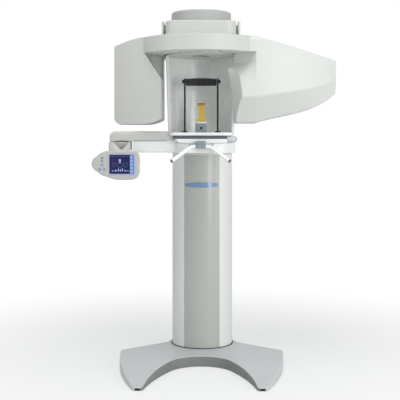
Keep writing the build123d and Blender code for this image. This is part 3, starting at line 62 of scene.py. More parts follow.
# Softboxes: name, place, point aimed at, width and height, power in watts
softboxes = [
    ("left_softbox", (-2.6, -2.5, 1.9), (0, -0.2, 1.0), (1.4, 1.4), 13),
    ("right_softbox", (3.4, -1.6, 0.9), (0, -0.2, 1.0), (1.2, 1.4), 18),
    ("front_softbox", (2.3, -4.0, 1.2), (0, -0.3, 1.2), (1.0, 1.6), 44),
    ("high_softbox", (2.4, -2.6, 2.8), (0, -0.2, 1.1), (1.4, 1.4), 10),
    ("top_softbox", (-0.2, -1.6, 3.8), (0, -0.3, 1.0), (2.0, 1.6), 38),
]
room_light = 0.45


# Camera, lamps and room

def add_camera():
    """Camera at the photograph's viewpoint, level and turned to the column."""
    data = bpy.data.cameras.new("photo_camera")
    data.sensor_fit = "HORIZONTAL"
    data.sensor_width = sensor_width
    data.lens = focal_pixels / photo_pixels * sensor_width
    data.shift_x = frame_shift_x
    data.shift_y = frame_shift_y
    camera = bpy.data.objects.new("photo_camera", data)
    camera.location = (camera_aside, -camera_distance, camera_height)
    camera.rotation_euler = (math.pi / 2, 0.0, math.atan2(camera_aside, camera_distance))
    bpy.context.collection.objects.link(camera)
    bpy.context.scene.camera = camera


def add_lamp(name, place, aim, size, power):
    """Softbox that faces a point."""
    data = bpy.data.lights.new(name, "AREA")
    data.shape = "RECTANGLE"
    data.size, data.size_y = size
    data.energy = power
    lamp = bpy.data.objects.new(name, data)
    lamp.location = place
    reach = [end - start for start, end in zip(place, aim)]
    tilt = math.atan2(math.hypot(reach[0], reach[1]), -reach[2])
    heading = math.atan2(reach[1], reach[0]) - math.pi / 2
    lamp.rotation_euler = (tilt, 0.0, heading)
    bpy.context.collection.objects.link(lamp)


def linear(hex_colour):
    """Opaque linear colour of an sRGB hex value such as #a0b0c0."""
    parts = [int(hex_colour[start:start + 2], 16) / 255 for start in (1, 3, 5)]
    return [p / 12.92 if p <= 0.04045 else ((p + 0.055) / 1.055) ** 2.4 for p in parts] + [1.0]


def add_node(tree, kind, settings=None, links=None):
    """Adds a node; a setting goes to the socket or property of that name, a link names a source socket."""
    made = tree.nodes.new(kind)
    for name, value in (settings or {}).items():
        if isinstance(name, int) or name in made.inputs:
            made.inputs[name].default_value = value
        else:
            setattr(made, name, value)
    for name, source in (links or {}).items():
        tree.links.new(source, made.inputs[name])
    return made


def capped_sum(tree, first, second):
    """Sum of two values, held at 1."""
    return add_node(tree, "ShaderNodeMath", {"operation": "ADD", "use_clamp": True}, {
        0: first, 1: second}).outputs[0]


def any_straight_ray(tree):
    """1 for rays from the camera, a mirror or glass, so that these see the white room."""
    path = add_node(tree, "ShaderNodeLightPath")
    camera_or_gloss = capped_sum(tree, path.outputs["Is Camera Ray"], path.outputs["Is Glossy Ray"])
    return capped_sum(tree, camera_or_gloss, path.outputs["Is Transmission Ray"])


def add_world(ambient):
    """White room that lights the machine more softly than it looks."""
    world = bpy.data.worlds.new("white_room")
    bpy.context.scene.world = world
    world.use_nodes = True
    tree = world.node_tree
    tree.nodes.clear()
    soft = add_node(tree, "ShaderNodeBackground", {"Color": linear("#f4f7fb"), "Strength": ambient})
    white = add_node(tree, "ShaderNodeBackground", {"Color": linear("#ffffff"), "Strength": 1.0})
    mixed = add_node(tree, "ShaderNodeMixShader", links={
        0: any_straight_ray(tree), 1: soft.outputs[0], 2: white.outputs[0]})
    add_node(tree, "ShaderNodeOutputWorld", links={"Surface": mixed.outputs[0]})


def add_floor():
    """White floor that takes a soft shadow near the foot and fades into the room further out."""
    floor_size = 60.0
    floor_drop = 0.0005
    shadow_radius, white_radius = 0.5, 2.2
    whiteness_at_foot = 0.55
    bpy.ops.object.select_all(action="DESELECT")
    bpy.ops.mesh.primitive_plane_add(size=floor_size, location=(0, 0, -floor_drop))
    floor = bpy.context.object
    floor.name = "studio_floor"
    finish = bpy.data.materials.new("white_studio_floor")
    finish.use_nodes = True
    tree = finish.node_tree
    tree.nodes.clear()
    matt = add_node(tree, "ShaderNodeBsdfDiffuse", {"Color": linear("#f2f3f3")})
    glow = add_node(tree, "ShaderNodeEmission", {"Color": linear("#ffffff"), "Strength": 1.0})
    path = add_node(tree, "ShaderNodeLightPath")
    away = add_node(tree, "ShaderNodeVectorMath", {"operation": "LENGTH"}, {
        0: add_node(tree, "ShaderNodeTexCoord").outputs["Object"]})
    whiter = add_node(tree, "ShaderNodeMapRange", {
        "From Min": shadow_radius, "From Max": white_radius, "To Min": whiteness_at_foot, "To Max": 1.0,
        "interpolation_type": "SMOOTHSTEP"}, {"Value": away.outputs["Value"]})
    share = add_node(tree, "ShaderNodeMath", {"operation": "MULTIPLY"}, {
        0: path.outputs["Is Camera Ray"], 1: whiter.outputs[0]})
    mixed = add_node(tree, "ShaderNodeMixShader", links={
        0: share.outputs[0], 1: matt.outputs[0], 2: glow.outputs[0]})
    add_node(tree, "ShaderNodeOutputMaterial", links={"Surface": mixed.outputs[0]})
    floor.data.materials.append(finish)


add_camera()
for name, place, aim, size, power in softboxes:
    add_lamp(name, place, aim, size, power)
add_world(room_light)
add_floor()

bpy.context.scene.view_settings.view_transform = "Standard"


# Finishes

def start_finish(name):
    """Empty finish, its node tree and the place of each point on the piece."""
    finish = bpy.data.materials.new(name)
    finish.use_nodes = True
    tree = finish.node_tree
    tree.nodes.clear()
    place = add_node(tree, "ShaderNodeTexCoord").outputs["Object"]
    return finish, tree, place


def close_finish(tree, shader):
    """Puts the shader on the surface of the finish."""
    add_node(tree, "ShaderNodeOutputMaterial", links={"Surface": shader.outputs[0]})


def noise(tree, place, patch_mm, detail, more=None):
    """Random pattern with patches of about the given size."""
    settings = {"Scale": 1.0 / (patch_mm * mm), "Detail": detail, **(more or {})}
    return add_node(tree, "ShaderNodeTexNoise", settings, {"Vector": place}).outputs["Fac"]


def clouded(tree, place, low, high, patch_mm):
    """Colour that drifts softly between two close tones over patches of the given size."""
    clouds = noise(tree, place, patch_mm, 2.0)
    return add_node(tree, "ShaderNodeMix", {"data_type": "RGBA", 6: linear(low), 7: linear(high)}, {
        0: clouds}).outputs[2]


def grained(tree, place, grain_mm, depth_mm, strength):
    """Surface relief of fine random grain."""
    grain = noise(tree, place, grain_mm, 3.0, {"Roughness": 0.6})
    return add_node(tree, "ShaderNodeBump", {"Strength": strength, "Distance": depth_mm * mm}, {
        "Height": grain}).outputs["Normal"]


def uneven(tree, place, middle, spread, patch_mm):
    """Roughness that varies a little, as handled and cleaned surfaces do."""
    spots = noise(tree, place, patch_mm, 4.0)
    return add_node(tree, "ShaderNodeMapRange", {"To Min": middle - spread, "To Max": middle + spread}, {
        "Value": spots}).outputs["Result"]


def solid_finish(name, low, high, roughness, grain_mm, depth_mm, strength, coat=0.0, metallic=0.0):
    """Plastic, paint, rubber or metal: tone between two colours, fine relief and an optional clear coat."""
    finish, tree, place = start_finish(name)
    settings = {"Metallic": metallic, "IOR": 1.5, "Coat Weight": coat, "Coat Roughness": 0.12}
    shader = add_node(tree, "ShaderNodeBsdfPrincipled", settings, {
        "Base Color": clouded(tree, place, low, high, patch_mm=180.0),
        "Roughness": uneven(tree, place, roughness, spread=0.05, patch_mm=60.0),
        "Normal": grained(tree, place, grain_mm, depth_mm, strength)})
    close_finish(tree, shader)
    return finish


# Textures that several finishes share
mould_grain = {"roughness": 0.42, "grain_mm": 2.2, "depth_mm": 0.05, "strength": 0.25}
satin_film = {"grain_mm": 6.0, "depth_mm": 0.04, "strength": 0.2, "coat": 0.1}

# Injection moulded ABS: warm off-white, with the fine even grain of a spark-eroded mould
white_abs = solid_finish("moulded_white_abs", "#d4d7d2", "#dadcd7", **mould_grain)
# The same ABS in the slightly greyer tone of the ring and the head
ring_abs = solid_finish("moulded_pale_grey_abs", "#c9cbc5", "#cfd1cb", **mould_grain)
# The same ABS a shade greyer again, for the source housing: painted shade, the greyer tone stands in for
# the shade on that housing
source_abs_painted_shade = solid_finish("moulded_abs_painted_shade", "#c4c6c0", "#c9cbc5", **mould_grain)
# The same ABS in the pale warm tone of the panel's arm
arm_abs = solid_finish("moulded_warm_white_abs", "#c3c4bf", "#c9cac5", **mould_grain)
# Powder coat on sheet steel: cool white with a faint orange peel and a soft sheen
white_powder_coat = solid_finish(
    "white_powder_coat", "#f4f6f3", "#f7f8f6",
    roughness=0.28, grain_mm=5.0, depth_mm=0.06, strength=0.25, coat=0.15)
# Lacquered aluminium column cladding: smooth satin off-white
column_lacquer = solid_finish("satin_column_lacquer", "#e8eae5", "#edefea", roughness=0.36, **satin_film)
# The same lacquer in a darker tone on the removable front panel: painted shade, the darker tone stands in
# for the shade on the column's middle between its lit sides
front_lacquer_painted_shade = solid_finish("satin_lacquer_painted_shade", "#b6b7b1", "#bcbdb7", roughness=0.34, **satin_film)
# Structured lacquer on the foot: pale cool grey, slightly rough under the shoes
foot_lacquer = solid_finish(
    "pale_grey_structure_lacquer", "#c5c9c9", "#cdd1d1",
    roughness=0.48, grain_mm=2.4, depth_mm=0.10, strength=0.4)
# Moulded ABS tinted blue grey: matt, for the keys, the grip's clamp and the bite holder
grey_abs = solid_finish(
    "moulded_blue_grey_abs", "#828e95", "#8c989e",
    roughness=0.5, grain_mm=1.8, depth_mm=0.05, strength=0.3)
# Light grey moulded ABS: matt, for the round cap and the two ray windows
cap_abs = solid_finish(
    "moulded_light_grey_abs", "#abadaa", "#b2b4b1",
    roughness=0.5, grain_mm=2.0, depth_mm=0.05, strength=0.3)
# Dark grey moulded ABS: matt, for the tray's middle layer and the ends of the grip tube
slot_abs = solid_finish(
    "moulded_dark_grey_abs", "#5c646a", "#666e74",
    roughness=0.55, grain_mm=1.8, depth_mm=0.05, strength=0.3)
# Moulded ABS of the operating panel: warm light grey
panel_abs = solid_finish(
    "moulded_warm_grey_abs", "#b9bab6", "#c1c2be",
    roughness=0.45, grain_mm=1.8, depth_mm=0.05, strength=0.3)
# Black anodised aluminium rods: dull black metal with a faint sheen
black_anodised = solid_finish(
    "black_anodised_aluminium", "#1b1c1e", "#232427",
    roughness=0.4, grain_mm=2.0, depth_mm=0.02, strength=0.2, metallic=1.0)
# Black nylon with glass fibre, injection moulded: dull and slightly cloudy
black_nylon = solid_finish(
    "black_glass_filled_nylon", "#0c0d10", "#131519",
    roughness=0.55, grain_mm=1.2, depth_mm=0.06, strength=0.35)
# Moulded black rubber: dull, finely pitted
black_rubber = solid_finish(
    "moulded_black_rubber", "#101112", "#1a1b1c",
    roughness=0.75, grain_mm=1.5, depth_mm=0.1, strength=0.4)
# Moulded polycarbonate bite block: warm orange yellow, glossy
yellow_polycarbonate = solid_finish(
    "yellow_polycarbonate", "#dcab22", "#e4b830",
    roughness=0.25, grain_mm=8.0, depth_mm=0.02, strength=0.1, coat=0.4)
# Ivory acetal, cut from bar: waxy sliding plastic of the guide pads and the toothed ring
ivory_acetal = solid_finish(
    "ivory_acetal", "#dcd8c8", "#e4e0d2",
    roughness=0.38, grain_mm=3.0, depth_mm=0.03, strength=0.2)
# Cast aluminium: bright grey metal with a rough as-cast skin
cast_aluminium = solid_finish(
    "cast_aluminium", "#a6a8aa", "#b4b6b8",
    roughness=0.45, grain_mm=1.6, depth_mm=0.12, strength=0.4, metallic=1.0)
# Bead blasted aluminium of the tray's knob: pale, even metal
satin_alloy = solid_finish(
    "bead_blasted_aluminium", "#c6c9cc", "#d0d3d6",
    roughness=0.4, grain_mm=1.5, depth_mm=0.03, strength=0.2, metallic=0.6)
# Turned and milled steel: plain bright metal
turned_steel = solid_finish(
    "turned_steel", "#9b9da0", "#a8aaad",
    roughness=0.3, grain_mm=3.0, depth_mm=0.02, strength=0.2, metallic=1.0)
# Polished stainless steel of the lifting rod: close to a mirror
polished_steel = solid_finish(
    "polished_stainless_steel", "#b4b6b8", "#bec0c2",
    roughness=0.14, grain_mm=6.0, depth_mm=0.005, strength=0.1, metallic=1.0)
# Cast opal acrylic of the column's light window: milky pale blue with a glossy face
opal_acrylic = solid_finish(
    "opal_blue_acrylic", "#7590b8", "#809ac0",
    roughness=0.25, grain_mm=5.0, depth_mm=0.01, strength=0.1, coat=0.3)
# Moulded ABS with a polished skin: the whitest trim of the tray, the arm and the niche
white_trim = solid_finish(
    "polished_white_abs", "#eceeec", "#f0f2f0",
    roughness=0.3, grain_mm=3.0, depth_mm=0.02, strength=0.15, coat=0.2)
# Mid grey strip on the foot's front arc, dull and finely grained: painted shade, its grey stands in for the
# shade on that face
kick_strip_shade_grey = solid_finish(
    "grey_strip_painted_shade", "#7a7f7c", "#848985",
    roughness=0.6, grain_mm=1.5, depth_mm=0.08, strength=0.35)
# Moulded silicone cushions: dull black, faintly dusty
black_silicone = solid_finish(
    "moulded_black_silicone", "#0d0e10", "#15161a",
    roughness=0.6, grain_mm=1.5, depth_mm=0.08, strength=0.35)
# Moulded silicone sleeve of the bite block: amber, soft sheen
amber_silicone = solid_finish(
    "amber_silicone", "#7a5220", "#8a5f28",
    roughness=0.4, grain_mm=3.0, depth_mm=0.03, strength=0.2)
# Moulded ABS trim round the display and the keys: lavender grey, satin
panel_trim = solid_finish(
    "moulded_lavender_grey_abs", "#aeb0c4", "#b6b8cb",
    roughness=0.42, grain_mm=1.8, depth_mm=0.04, strength=0.25)
# Zinc plated steel screws: pale bluish metal
zinc_screw = solid_finish(
    "zinc_plated_steel", "#a3a6aa", "#afb2b6",
    roughness=0.32, grain_mm=2.0, depth_mm=0.02, strength=0.2, metallic=1.0)


def lit_field(name, low, high, glow):
    """Lit part of the display: a colour under glass that also gives off a little light of its own."""
    finish, tree, place = start_finish(name)
    colour = clouded(tree, place, low, high, patch_mm=30.0)
    shader = add_node(tree, "ShaderNodeBsdfPrincipled", {"Coat Weight": 0.3, "Emission Strength": glow}, {
        "Base Color": colour, "Emission Color": colour,
        "Roughness": uneven(tree, place, 0.2, spread=0.03, patch_mm=20.0)})
    close_finish(tree, shader)
    return finish


def display_picture():
    """Picture behind the display glass: purple on the left running to deep blue on the right."""
    left_edge, right_edge = -0.4195, -0.325
    finish, tree, place = start_finish("lit_display_under_glass")
    across = add_node(tree, "ShaderNodeSeparateXYZ", links={"Vector": place}).outputs["X"]
    share = add_node(tree, "ShaderNodeMapRange", {"From Min": left_edge, "From Max": right_edge}, {
        "Value": across})
    purple_to_blue = {"data_type": "RGBA", 6: linear("#30205f"), 7: linear("#0d2448")}
    tones = add_node(tree, "ShaderNodeMix", purple_to_blue, {0: share.outputs["Result"]})
    cloud = add_node(tree, "ShaderNodeTexNoise", {"Scale": 60.0, "Detail": 2.0}, {"Vector": place})
    darker = {"data_type": "RGBA", "blend_type": "MULTIPLY", 7: linear("#9a9ab4")}
    depth = add_node(tree, "ShaderNodeMix", darker, {0: cloud.outputs["Fac"], 6: tones.outputs[2]})
    glass = {"Coat Weight": 0.1, "Emission Strength": 0.12, "Specular IOR Level": 0.25}
    shader = add_node(tree, "ShaderNodeBsdfPrincipled", glass, {
        "Base Color": depth.outputs[2], "Emission Color": depth.outputs[2],
        "Roughness": uneven(tree, place, 0.15, spread=0.03, patch_mm=30.0)})
    close_finish(tree, shader)
    return finish


# Dark picture of the display, seen through its cover glass
screen_picture = display_picture()
# Printed fields and lines lit from behind: blue strip and keys, violet blue lines, pale blue marks
key_strip_light = lit_field("lit_side_strip", "#5a76b4", "#6888c4", glow=0.12)
key_field_light = lit_field("lit_key_fields", "#7f9cd0", "#93b0dc", glow=0.15)
halo_light = lit_field("lit_display_lines", "#4a3c98", "#2f6ca4", glow=0.12)
bright_light = lit_field("lit_display_marks", "#8fa4d4", "#a8bce4", glow=0.15)
# Small light guide of clear plastic with a green lamp behind it
green_lamp = lit_field("lit_green_lamp", "#9ec8a4", "#aad4ae", glow=0.2)

finish_of = {
    "floor_pads": black_rubber, "base_plate": turned_steel, "base_cover": foot_lacquer,
    "cable_gland": black_nylon, "mast_tube": turned_steel, "guide_pads": ivory_acetal,
    "actuator": cast_aluminium, "column_shell": column_lacquer, "column_front_panel": front_lacquer_painted_shade,
    "column_lens": opal_acrylic, "column_top_ring": white_abs, "push_rod": polished_steel,
    "lift_tube": cast_aluminium, "carriage_bracket": cast_aluminium, "carriage_cover": white_trim,
    "niche_shell": white_powder_coat, "niche_ceiling": white_abs, "hub": cast_aluminium,
    "bearing_inner": turned_steel, "ring_gear": ivory_acetal, "head_housing": ring_abs,
    "head_side_panels": white_abs, "head_cap": cap_abs, "tray_base": white_trim,
    "tray_slot_strip": slot_abs, "tray_top": white_trim, "tray_knob": satin_alloy,
    "rod_bushes": black_nylon, "bite_holder": grey_abs, "bite_block": yellow_polycarbonate,
    "handle_clamp": grey_abs, "handle_tube": white_powder_coat, "handle_caps": slot_abs,
    "arm_rail": arm_abs, "support_rods": black_anodised, "forehead_band": black_nylon,
    "band_knob_left": black_nylon, "band_knob_right": black_nylon, "panel_neck": arm_abs,
    "panel_front": panel_abs, "panel_back": panel_abs, "panel_bezel": panel_trim,
    "panel_screen": screen_picture, "bearing_outer": turned_steel, "gantry_frame": cast_aluminium,
    "ring_cover": ring_abs, "ring_floor": white_abs, "drive_motor": cast_aluminium,
    "drive_pinion": turned_steel, "tube_head": cast_aluminium, "tube_cover_front": source_abs_painted_shade,
    "tube_cover_rear": source_abs_painted_shade, "image_detector": cast_aluminium,
    "detector_cover_front": white_abs, "detector_cover_rear": white_abs,
}
for number in range(1, 6):
    finish_of[f"panel_button_{number}"] = grey_abs

for name, cad_piece in nodes.items():
    cad_piece.data.materials.clear()
    cad_piece.data.materials.append(finish_of[name])


# Modelling by hand: small steps that every piece below is made with. Places and sizes are in mm.

merge_reach = 0.02 * mm
# How closely an edge or face has to follow an axis, as a cosine, and how near to an end plane a rim lies
aligned = 0.9
at_end = 1e-6
facings = {
    "up": (0.0, 0.0, 0.0), "down": (math.pi, 0.0, 0.0), "front": (math.pi / 2, 0.0, 0.0),
    "back": (-math.pi / 2, 0.0, 0.0), "right": (0.0, math.pi / 2, 0.0), "left": (0.0, -math.pi / 2, 0.0),
}


def metres(place):
    return [part * mm for part in place]


def settle():
    """Puts the place, turn and size of the selected piece into its mesh."""
    bpy.ops.object.transform_apply(location=True, rotation=True, scale=True)


def added_piece():
    """The piece that an operator just added, settled."""
    settle()
    return bpy.context.object


def hold(piece):
    """Makes one piece the only selected and active one."""
    bpy.ops.object.select_all(action="DESELECT")
    piece.select_set(True)
    bpy.context.view_layer.objects.active = piece


def open_whole(piece):
    """Opens edit mode with the whole mesh of one piece selected."""
    hold(piece)
    bpy.ops.object.mode_set(mode="EDIT")
    bpy.ops.mesh.select_all(action="SELECT")


def leave_edit():
    if bpy.context.mode != "OBJECT":
        bpy.ops.object.mode_set(mode="OBJECT")


def pick(piece, kind, wanted):
    """Opens edit mode with the faces or edges selected that the test on middle and direction accepts."""
    hold(piece)
    bpy.ops.object.mode_set(mode="EDIT")
    bpy.ops.mesh.select_mode(type=kind)
    bpy.ops.mesh.select_all(action="DESELECT")
    bpy.ops.object.mode_set(mode="OBJECT")
    points = piece.data.vertices
    if kind == "FACE":
        for face in piece.data.polygons:
            face.select = wanted(face.center, face.normal)
    else:
        for edge in piece.data.edges:
            first, last = (points[index].co for index in edge.vertices)
            edge.select = wanted((first + last) / 2, (last - first).normalized())
    bpy.ops.object.mode_set(mode="EDIT")


def round_edges(piece, radius, steps, wanted):
    """Rounds the edges that the test accepts, in the given number of steps."""
    pick(piece, "EDGE", wanted)
    bpy.ops.mesh.bevel(offset=radius * mm, segments=steps, affect="EDGES")
    leave_edit()


def face_and_move(piece, facing, place):
    """Turns a piece made round the Z axis to a side of the machine and moves it there."""
    piece.rotation_euler = facings[facing]
    piece.location = metres(place)
    settle()
    return piece


def finish_piece(piece, name, finish, body, smooth_angle=35.0):
    """Names the piece, turns its faces outwards, smooths it and says what it is made of and rides on."""
    leave_edit()
    open_whole(piece)
    bpy.ops.mesh.remove_doubles(threshold=merge_reach)
    bpy.ops.mesh.normals_make_consistent(inside=False)
    leave_edit()
    settle()
    bpy.ops.object.shade_smooth_by_angle(angle=math.radians(smooth_angle))
    piece.name = name
    piece.data.name = name
    piece.data.materials.clear()
    piece.data.materials.append(finish)
    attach(piece, body)
    return piece


def slab(low, high, corner=0.0, along=2, rim=0.0):
    """Block between two corners; the edges along one axis are rounded first, then the rims across it."""
    bpy.ops.object.select_all(action="DESELECT")
    middle = [(a + b) / 2 * mm for a, b in zip(low, high)]
    bpy.ops.mesh.primitive_cube_add(size=1.0, location=middle)
    bpy.context.object.scale = [(b - a) * mm for a, b in zip(low, high)]
    piece = added_piece()
    if corner:
        round_edges(piece, corner, 5, lambda at, way: abs(way[along]) > aligned)
    if rim:
        ends = (low[along] * mm, high[along] * mm)
        round_edges(piece, rim, 3, lambda at, way: min(abs(at[along] - end) for end in ends) < at_end)
    return piece


def turned(profile, place, facing="up", sides=40):
    """Lathe piece: the profile lists height and radius, from the foot to the end that faces outwards."""
    bpy.ops.object.select_all(action="DESELECT")
    height, radius = profile[0]
    bpy.ops.mesh.primitive_circle_add(vertices=sides, radius=radius * mm, fill_type="NGON",
                                      location=(0.0, 0.0, height * mm))
    piece = added_piece()
    open_whole(piece)
    for next_height, next_radius in profile[1:]:
        rise = (0.0, 0.0, (next_height - height) * mm)
        bpy.ops.mesh.extrude_region_move(TRANSFORM_OT_translate={"value": rise})
        ratio = next_radius / radius
        bpy.ops.transform.resize(value=(ratio, ratio, 1.0))
        height, radius = next_height, next_radius
    leave_edit()
    return face_and_move(piece, facing, place)


def spun(low, high, centre, start, sweep, steps, corner):
    """Bar bent round an upright axis: low and high give radius and height of its section."""
    bpy.ops.object.select_all(action="DESELECT")
    radius, height = (low[0] + high[0]) / 2, (low[1] + high[1]) / 2
    bpy.ops.mesh.primitive_plane_add(size=1.0, rotation=(math.pi / 2, 0.0, 0.0),
                                     location=(radius * mm, 0.0, height * mm))
    bpy.context.object.scale = ((high[0] - low[0]) * mm, (high[1] - low[1]) * mm, 1.0)
    piece = added_piece()
    open_whole(piece)
    bpy.ops.mesh.bevel(offset=corner * mm, segments=3, affect="VERTICES")
    bpy.ops.mesh.select_all(action="SELECT")
    if sweep >= 360.0:
        bpy.ops.mesh.delete(type="ONLY_FACE")
        bpy.ops.mesh.select_all(action="SELECT")
    bpy.ops.mesh.spin(steps=steps, angle=math.radians(-sweep), center=(0.0, 0.0, 0.0), axis=(0.0, 0.0, 1.0))
    leave_edit()
    piece.rotation_euler = (0.0, 0.0, math.radians(start))
    piece.location = (centre[0] * mm, centre[1] * mm, 0.0)
    settle()
    return piece


def turn_about(piece, degrees, centre):
    """Turns a piece about an upright axis through a point."""
    hold(piece)
    bpy.context.scene.cursor.location = metres(centre)
    bpy.ops.object.origin_set(type="ORIGIN_CURSOR")
    piece.rotation_euler = (0.0, 0.0, math.radians(degrees))
    settle()


def copy_to(piece, shift):
    """Second piece of the same make with its own mesh, moved by a distance."""
    hold(piece)
    bpy.ops.object.duplicate()
    twin = bpy.context.object
    twin.location = metres(shift)
    settle()
    return twin


def joined(pieces):
    """Several shapes made into one piece, without cutting them."""
    bpy.ops.object.select_all(action="DESELECT")
    for piece in pieces:
        piece.select_set(True)
    bpy.context.view_layer.objects.active = pieces[0]
    bpy.ops.object.join()
    return bpy.context.object


def combine(piece, tool, operation):
    """Joins another solid to a piece, or cuts it away."""
    hold(piece)
    step = piece.modifiers.new("combine", "BOOLEAN")
    step.operation = operation
    step.object = tool
    bpy.ops.object.modifier_apply(modifier=step.name)
    bpy.data.objects.remove(tool, do_unlink=True)


def cad_copy(node):
    """Copy of a CAD piece to work on, with its triangles merged into one closed skin."""
    bpy.ops.object.select_all(action="DESELECT")
    piece = nodes[node].copy()
    piece.data = nodes[node].data.copy()
    bpy.context.collection.objects.link(piece)
    open_whole(piece)
    bpy.ops.mesh.remove_doubles(threshold=merge_reach)
    leave_edit()
    return piece


def slice_off(piece, at, way):
    """Cuts away what lies ahead of a plane and closes the cut."""
    open_whole(piece)
    bpy.ops.mesh.bisect(plane_co=metres(at), plane_no=way, use_fill=True, clear_outer=True)
    leave_edit()


def flat_ring(place, outer, inner, proud):
    """Flattened ring that faces the front."""
    width = outer - inner
    bpy.ops.object.select_all(action="DESELECT")
    bpy.ops.mesh.primitive_torus_add(major_radius=(outer + inner) / 2 * mm, minor_radius=width / 2 * mm,
                                     major_segments=40, minor_segments=8)
    ring = added_piece()
    ring.scale = (1.0, 1.0, 2 * proud / width)
    settle()
    return face_and_move(ring, "front", place)


def cap_screw(place, facing, head):
    """Socket screw of the given head radius: chamfered round head with a six-sided recess."""
    sunk, rise, top = -1.5, head * 0.55, head * 0.82
    screw = turned([(sunk, head * 0.98), (rise, head), (head * 0.8, head * 0.86), (top, head * 0.6)],
                   (0, 0, 0), sides=28)
    bpy.ops.object.select_all(action="DESELECT")
    bpy.ops.mesh.primitive_cylinder_add(vertices=6, radius=head * 0.5 * mm, depth=2 * rise * mm,
                                        location=(0.0, 0.0, top * mm))
    key = added_piece()
    combine(screw, key, "DIFFERENCE")
    return face_and_move(screw, facing, place)


def screws(name, places, facing, body, head):
    """Set of equal screws as one piece."""
    first = cap_screw(places[0], facing, head)
    rest = [copy_to(first, [b - a for a, b in zip(places[0], place)]) for place in places[1:]]
    return finish_piece(joined([first] + rest), name, zinc_screw, body, smooth_angle=30.0)


def seam_gasket(node, name, seam_y, body, radius):
    """Thin rubber cord in the joint of a cover: the cover's outline at the seam, made round."""
    outline_step = 0.4 * mm
    open_whole(cad_copy(node))
    bpy.ops.mesh.bisect(plane_co=(0.0, seam_y * mm, 0.0), plane_no=(0.0, 1.0, 0.0),
                        clear_inner=True, clear_outer=True)
    bpy.ops.mesh.select_all(action="SELECT")
    bpy.ops.mesh.remove_doubles(threshold=outline_step)
    leave_edit()
    bpy.ops.object.convert(target="CURVE")
    outline = bpy.context.object
    outline.data.bevel_depth = radius * mm
    outline.data.bevel_resolution = 1
    bpy.ops.object.convert(target="MESH")
    return finish_piece(bpy.context.object, name, black_rubber, body, smooth_angle=60.0)


# Stand details

def dress_stand():
    """Black rubber ring round the column's foot, a gasket that also stands in for the contact shadow there,
    rubber strips in its two upright seams, and bumpers on the toes.
    """
    # Painted shadow: the black ring is also the dark contact shadow where the column meets the foot
    gasket = spun((155.2, 52.0), (159.6, 55.2), (0, 0), start=0, sweep=360, steps=96, corner=1.2)
    finish_piece(gasket, "column_foot_gasket_and_shadow", black_rubber, "stand", smooth_angle=60.0)
    seam_angle = 34.78
    toe_inner, toe_outer, toe_front = 263.5, 288.5, -730.5
    for side, word in both_sides:
        strip = slab((-0.55, -154.6, 52.5), (0.55, -150.2, 1029.5), corner=0.3)
        turn_about(strip, side * seam_angle, (0, 0, 0))
        finish_piece(strip, f"column_seam_strip_{word}", black_rubber, "stand")
        low, high = sorted((side * toe_inner, side * toe_outer))
        bumper = slab((low, toe_front, 2.0), (high, toe_front + 6.5, 11.5), corner=3.0, along=1, rim=1.6)
        finish_piece(bumper, f"toe_bumper_{word}", black_rubber, "stand")


def dress_foot_arc():
    """Thin grey strip over the upright face of the foot between its toes: painted shade of that face, made
    as a bonded rubber strip.
    """
    strip_thickness = 0.8
    half_span, rear_end = 262.0, -200.0
    lowest, highest = 4.0, 50.0

    def between_the_toes(at, way):
        upright = abs(way.z) < 0.3
        turned_inwards = way.y < -0.05 and way.x * at.x < 0.002
        within_length = abs(at.x) < half_span * mm and at.y < rear_end * mm
        within_height = lowest * mm < at.z < highest * mm
        return upright and turned_inwards and within_length and within_height

    strip = cad_copy("base_cover")
    pick(strip, "FACE", between_the_toes)
    bpy.ops.mesh.select_all(action="INVERT")
    bpy.ops.mesh.delete(type="FACE")
    leave_edit()
    hold(strip)
    thick = strip.modifiers.new("thick", "SOLIDIFY")
    thick.thickness = strip_thickness * mm
    thick.offset = 1.0
    bpy.ops.object.modifier_apply(modifier=thick.name)
    finish_piece(strip, "foot_arc_shade_strip", kick_strip_shade_grey, "stand", smooth_angle=40.0)


# Niche and tray details

def dress_niche():
    """White nosing over the front edges of the niche wall; the wall leans outwards with height."""
    foot, top, lean = 1141.0, 1507.5, 12.3
    inner, outer = 144.5, 158.8
    front, middle, back = -360.0, -355.0, -350.0
    for side, word in both_sides:
        low, high = sorted((side * inner, side * outer))
        nosing = slab((low, front, foot), (high, back, top))
        pick(nosing, "FACE", lambda at, way: way.z > aligned)
        bpy.ops.transform.translate(value=(side * lean * mm, 0.0, 0.0))
        leave_edit()
        round_edges(nosing, 3.2, 4, lambda at, way: abs(way.z) > aligned and at.y < middle * mm)
        round_edges(nosing, 1.5, 3, lambda at, way: abs(way.z) > aligned and at.y > middle * mm)
        finish_piece(nosing, f"niche_nosing_{word}", white_trim, "carriage")


def dress_band():
    """Five cushions of moulded silicone along the forehead band, lower towards its ends."""
    curve_radius, centre = 197.3, (0.0, -549.3)
    cushion_sweep, pitch = 7.2, 8.1
    band_height, tallest, drop = 1384.5, 30.5, 0.8
    cushions = []
    for step in (-2, -1, 0, 1, 2):
        start = 90.0 - cushion_sweep / 2 + step * pitch
        half = (tallest - abs(step) * drop) / 2
        foot = (curve_radius - 3.6, band_height - half)
        top = (curve_radius + 0.3, band_height + half)
        cushions.append(spun(foot, top, centre, start, cushion_sweep, steps=5, corner=1.5))
    finish_piece(joined(cushions), "band_cushions", black_silicone, "band", smooth_angle=50.0)


def dress_band_ends():
    """Black end blocks clamped on the rods between the band and its knobs, bored for the band's pins."""
    inner, outer = 73.8, 83.0
    pin_y, pin_height, bore_radius = -362.0, 1386.0, 3.6
    blocks = []
    for side, _ in both_sides:
        low, high = sorted((side * inner, side * outer))
        block = slab((low, -370.5, 1369.5), (high, -353.5, 1400.5), corner=2.5, along=0)
        bore_profile = [(0.0, bore_radius), (200.0, bore_radius)]
        bore = turned(bore_profile, (-100.0, pin_y, pin_height), "right", sides=32)
        combine(block, bore, "DIFFERENCE")
        blocks.append(block)
    finish_piece(joined(blocks), "band_end_blocks", black_nylon, "rods")


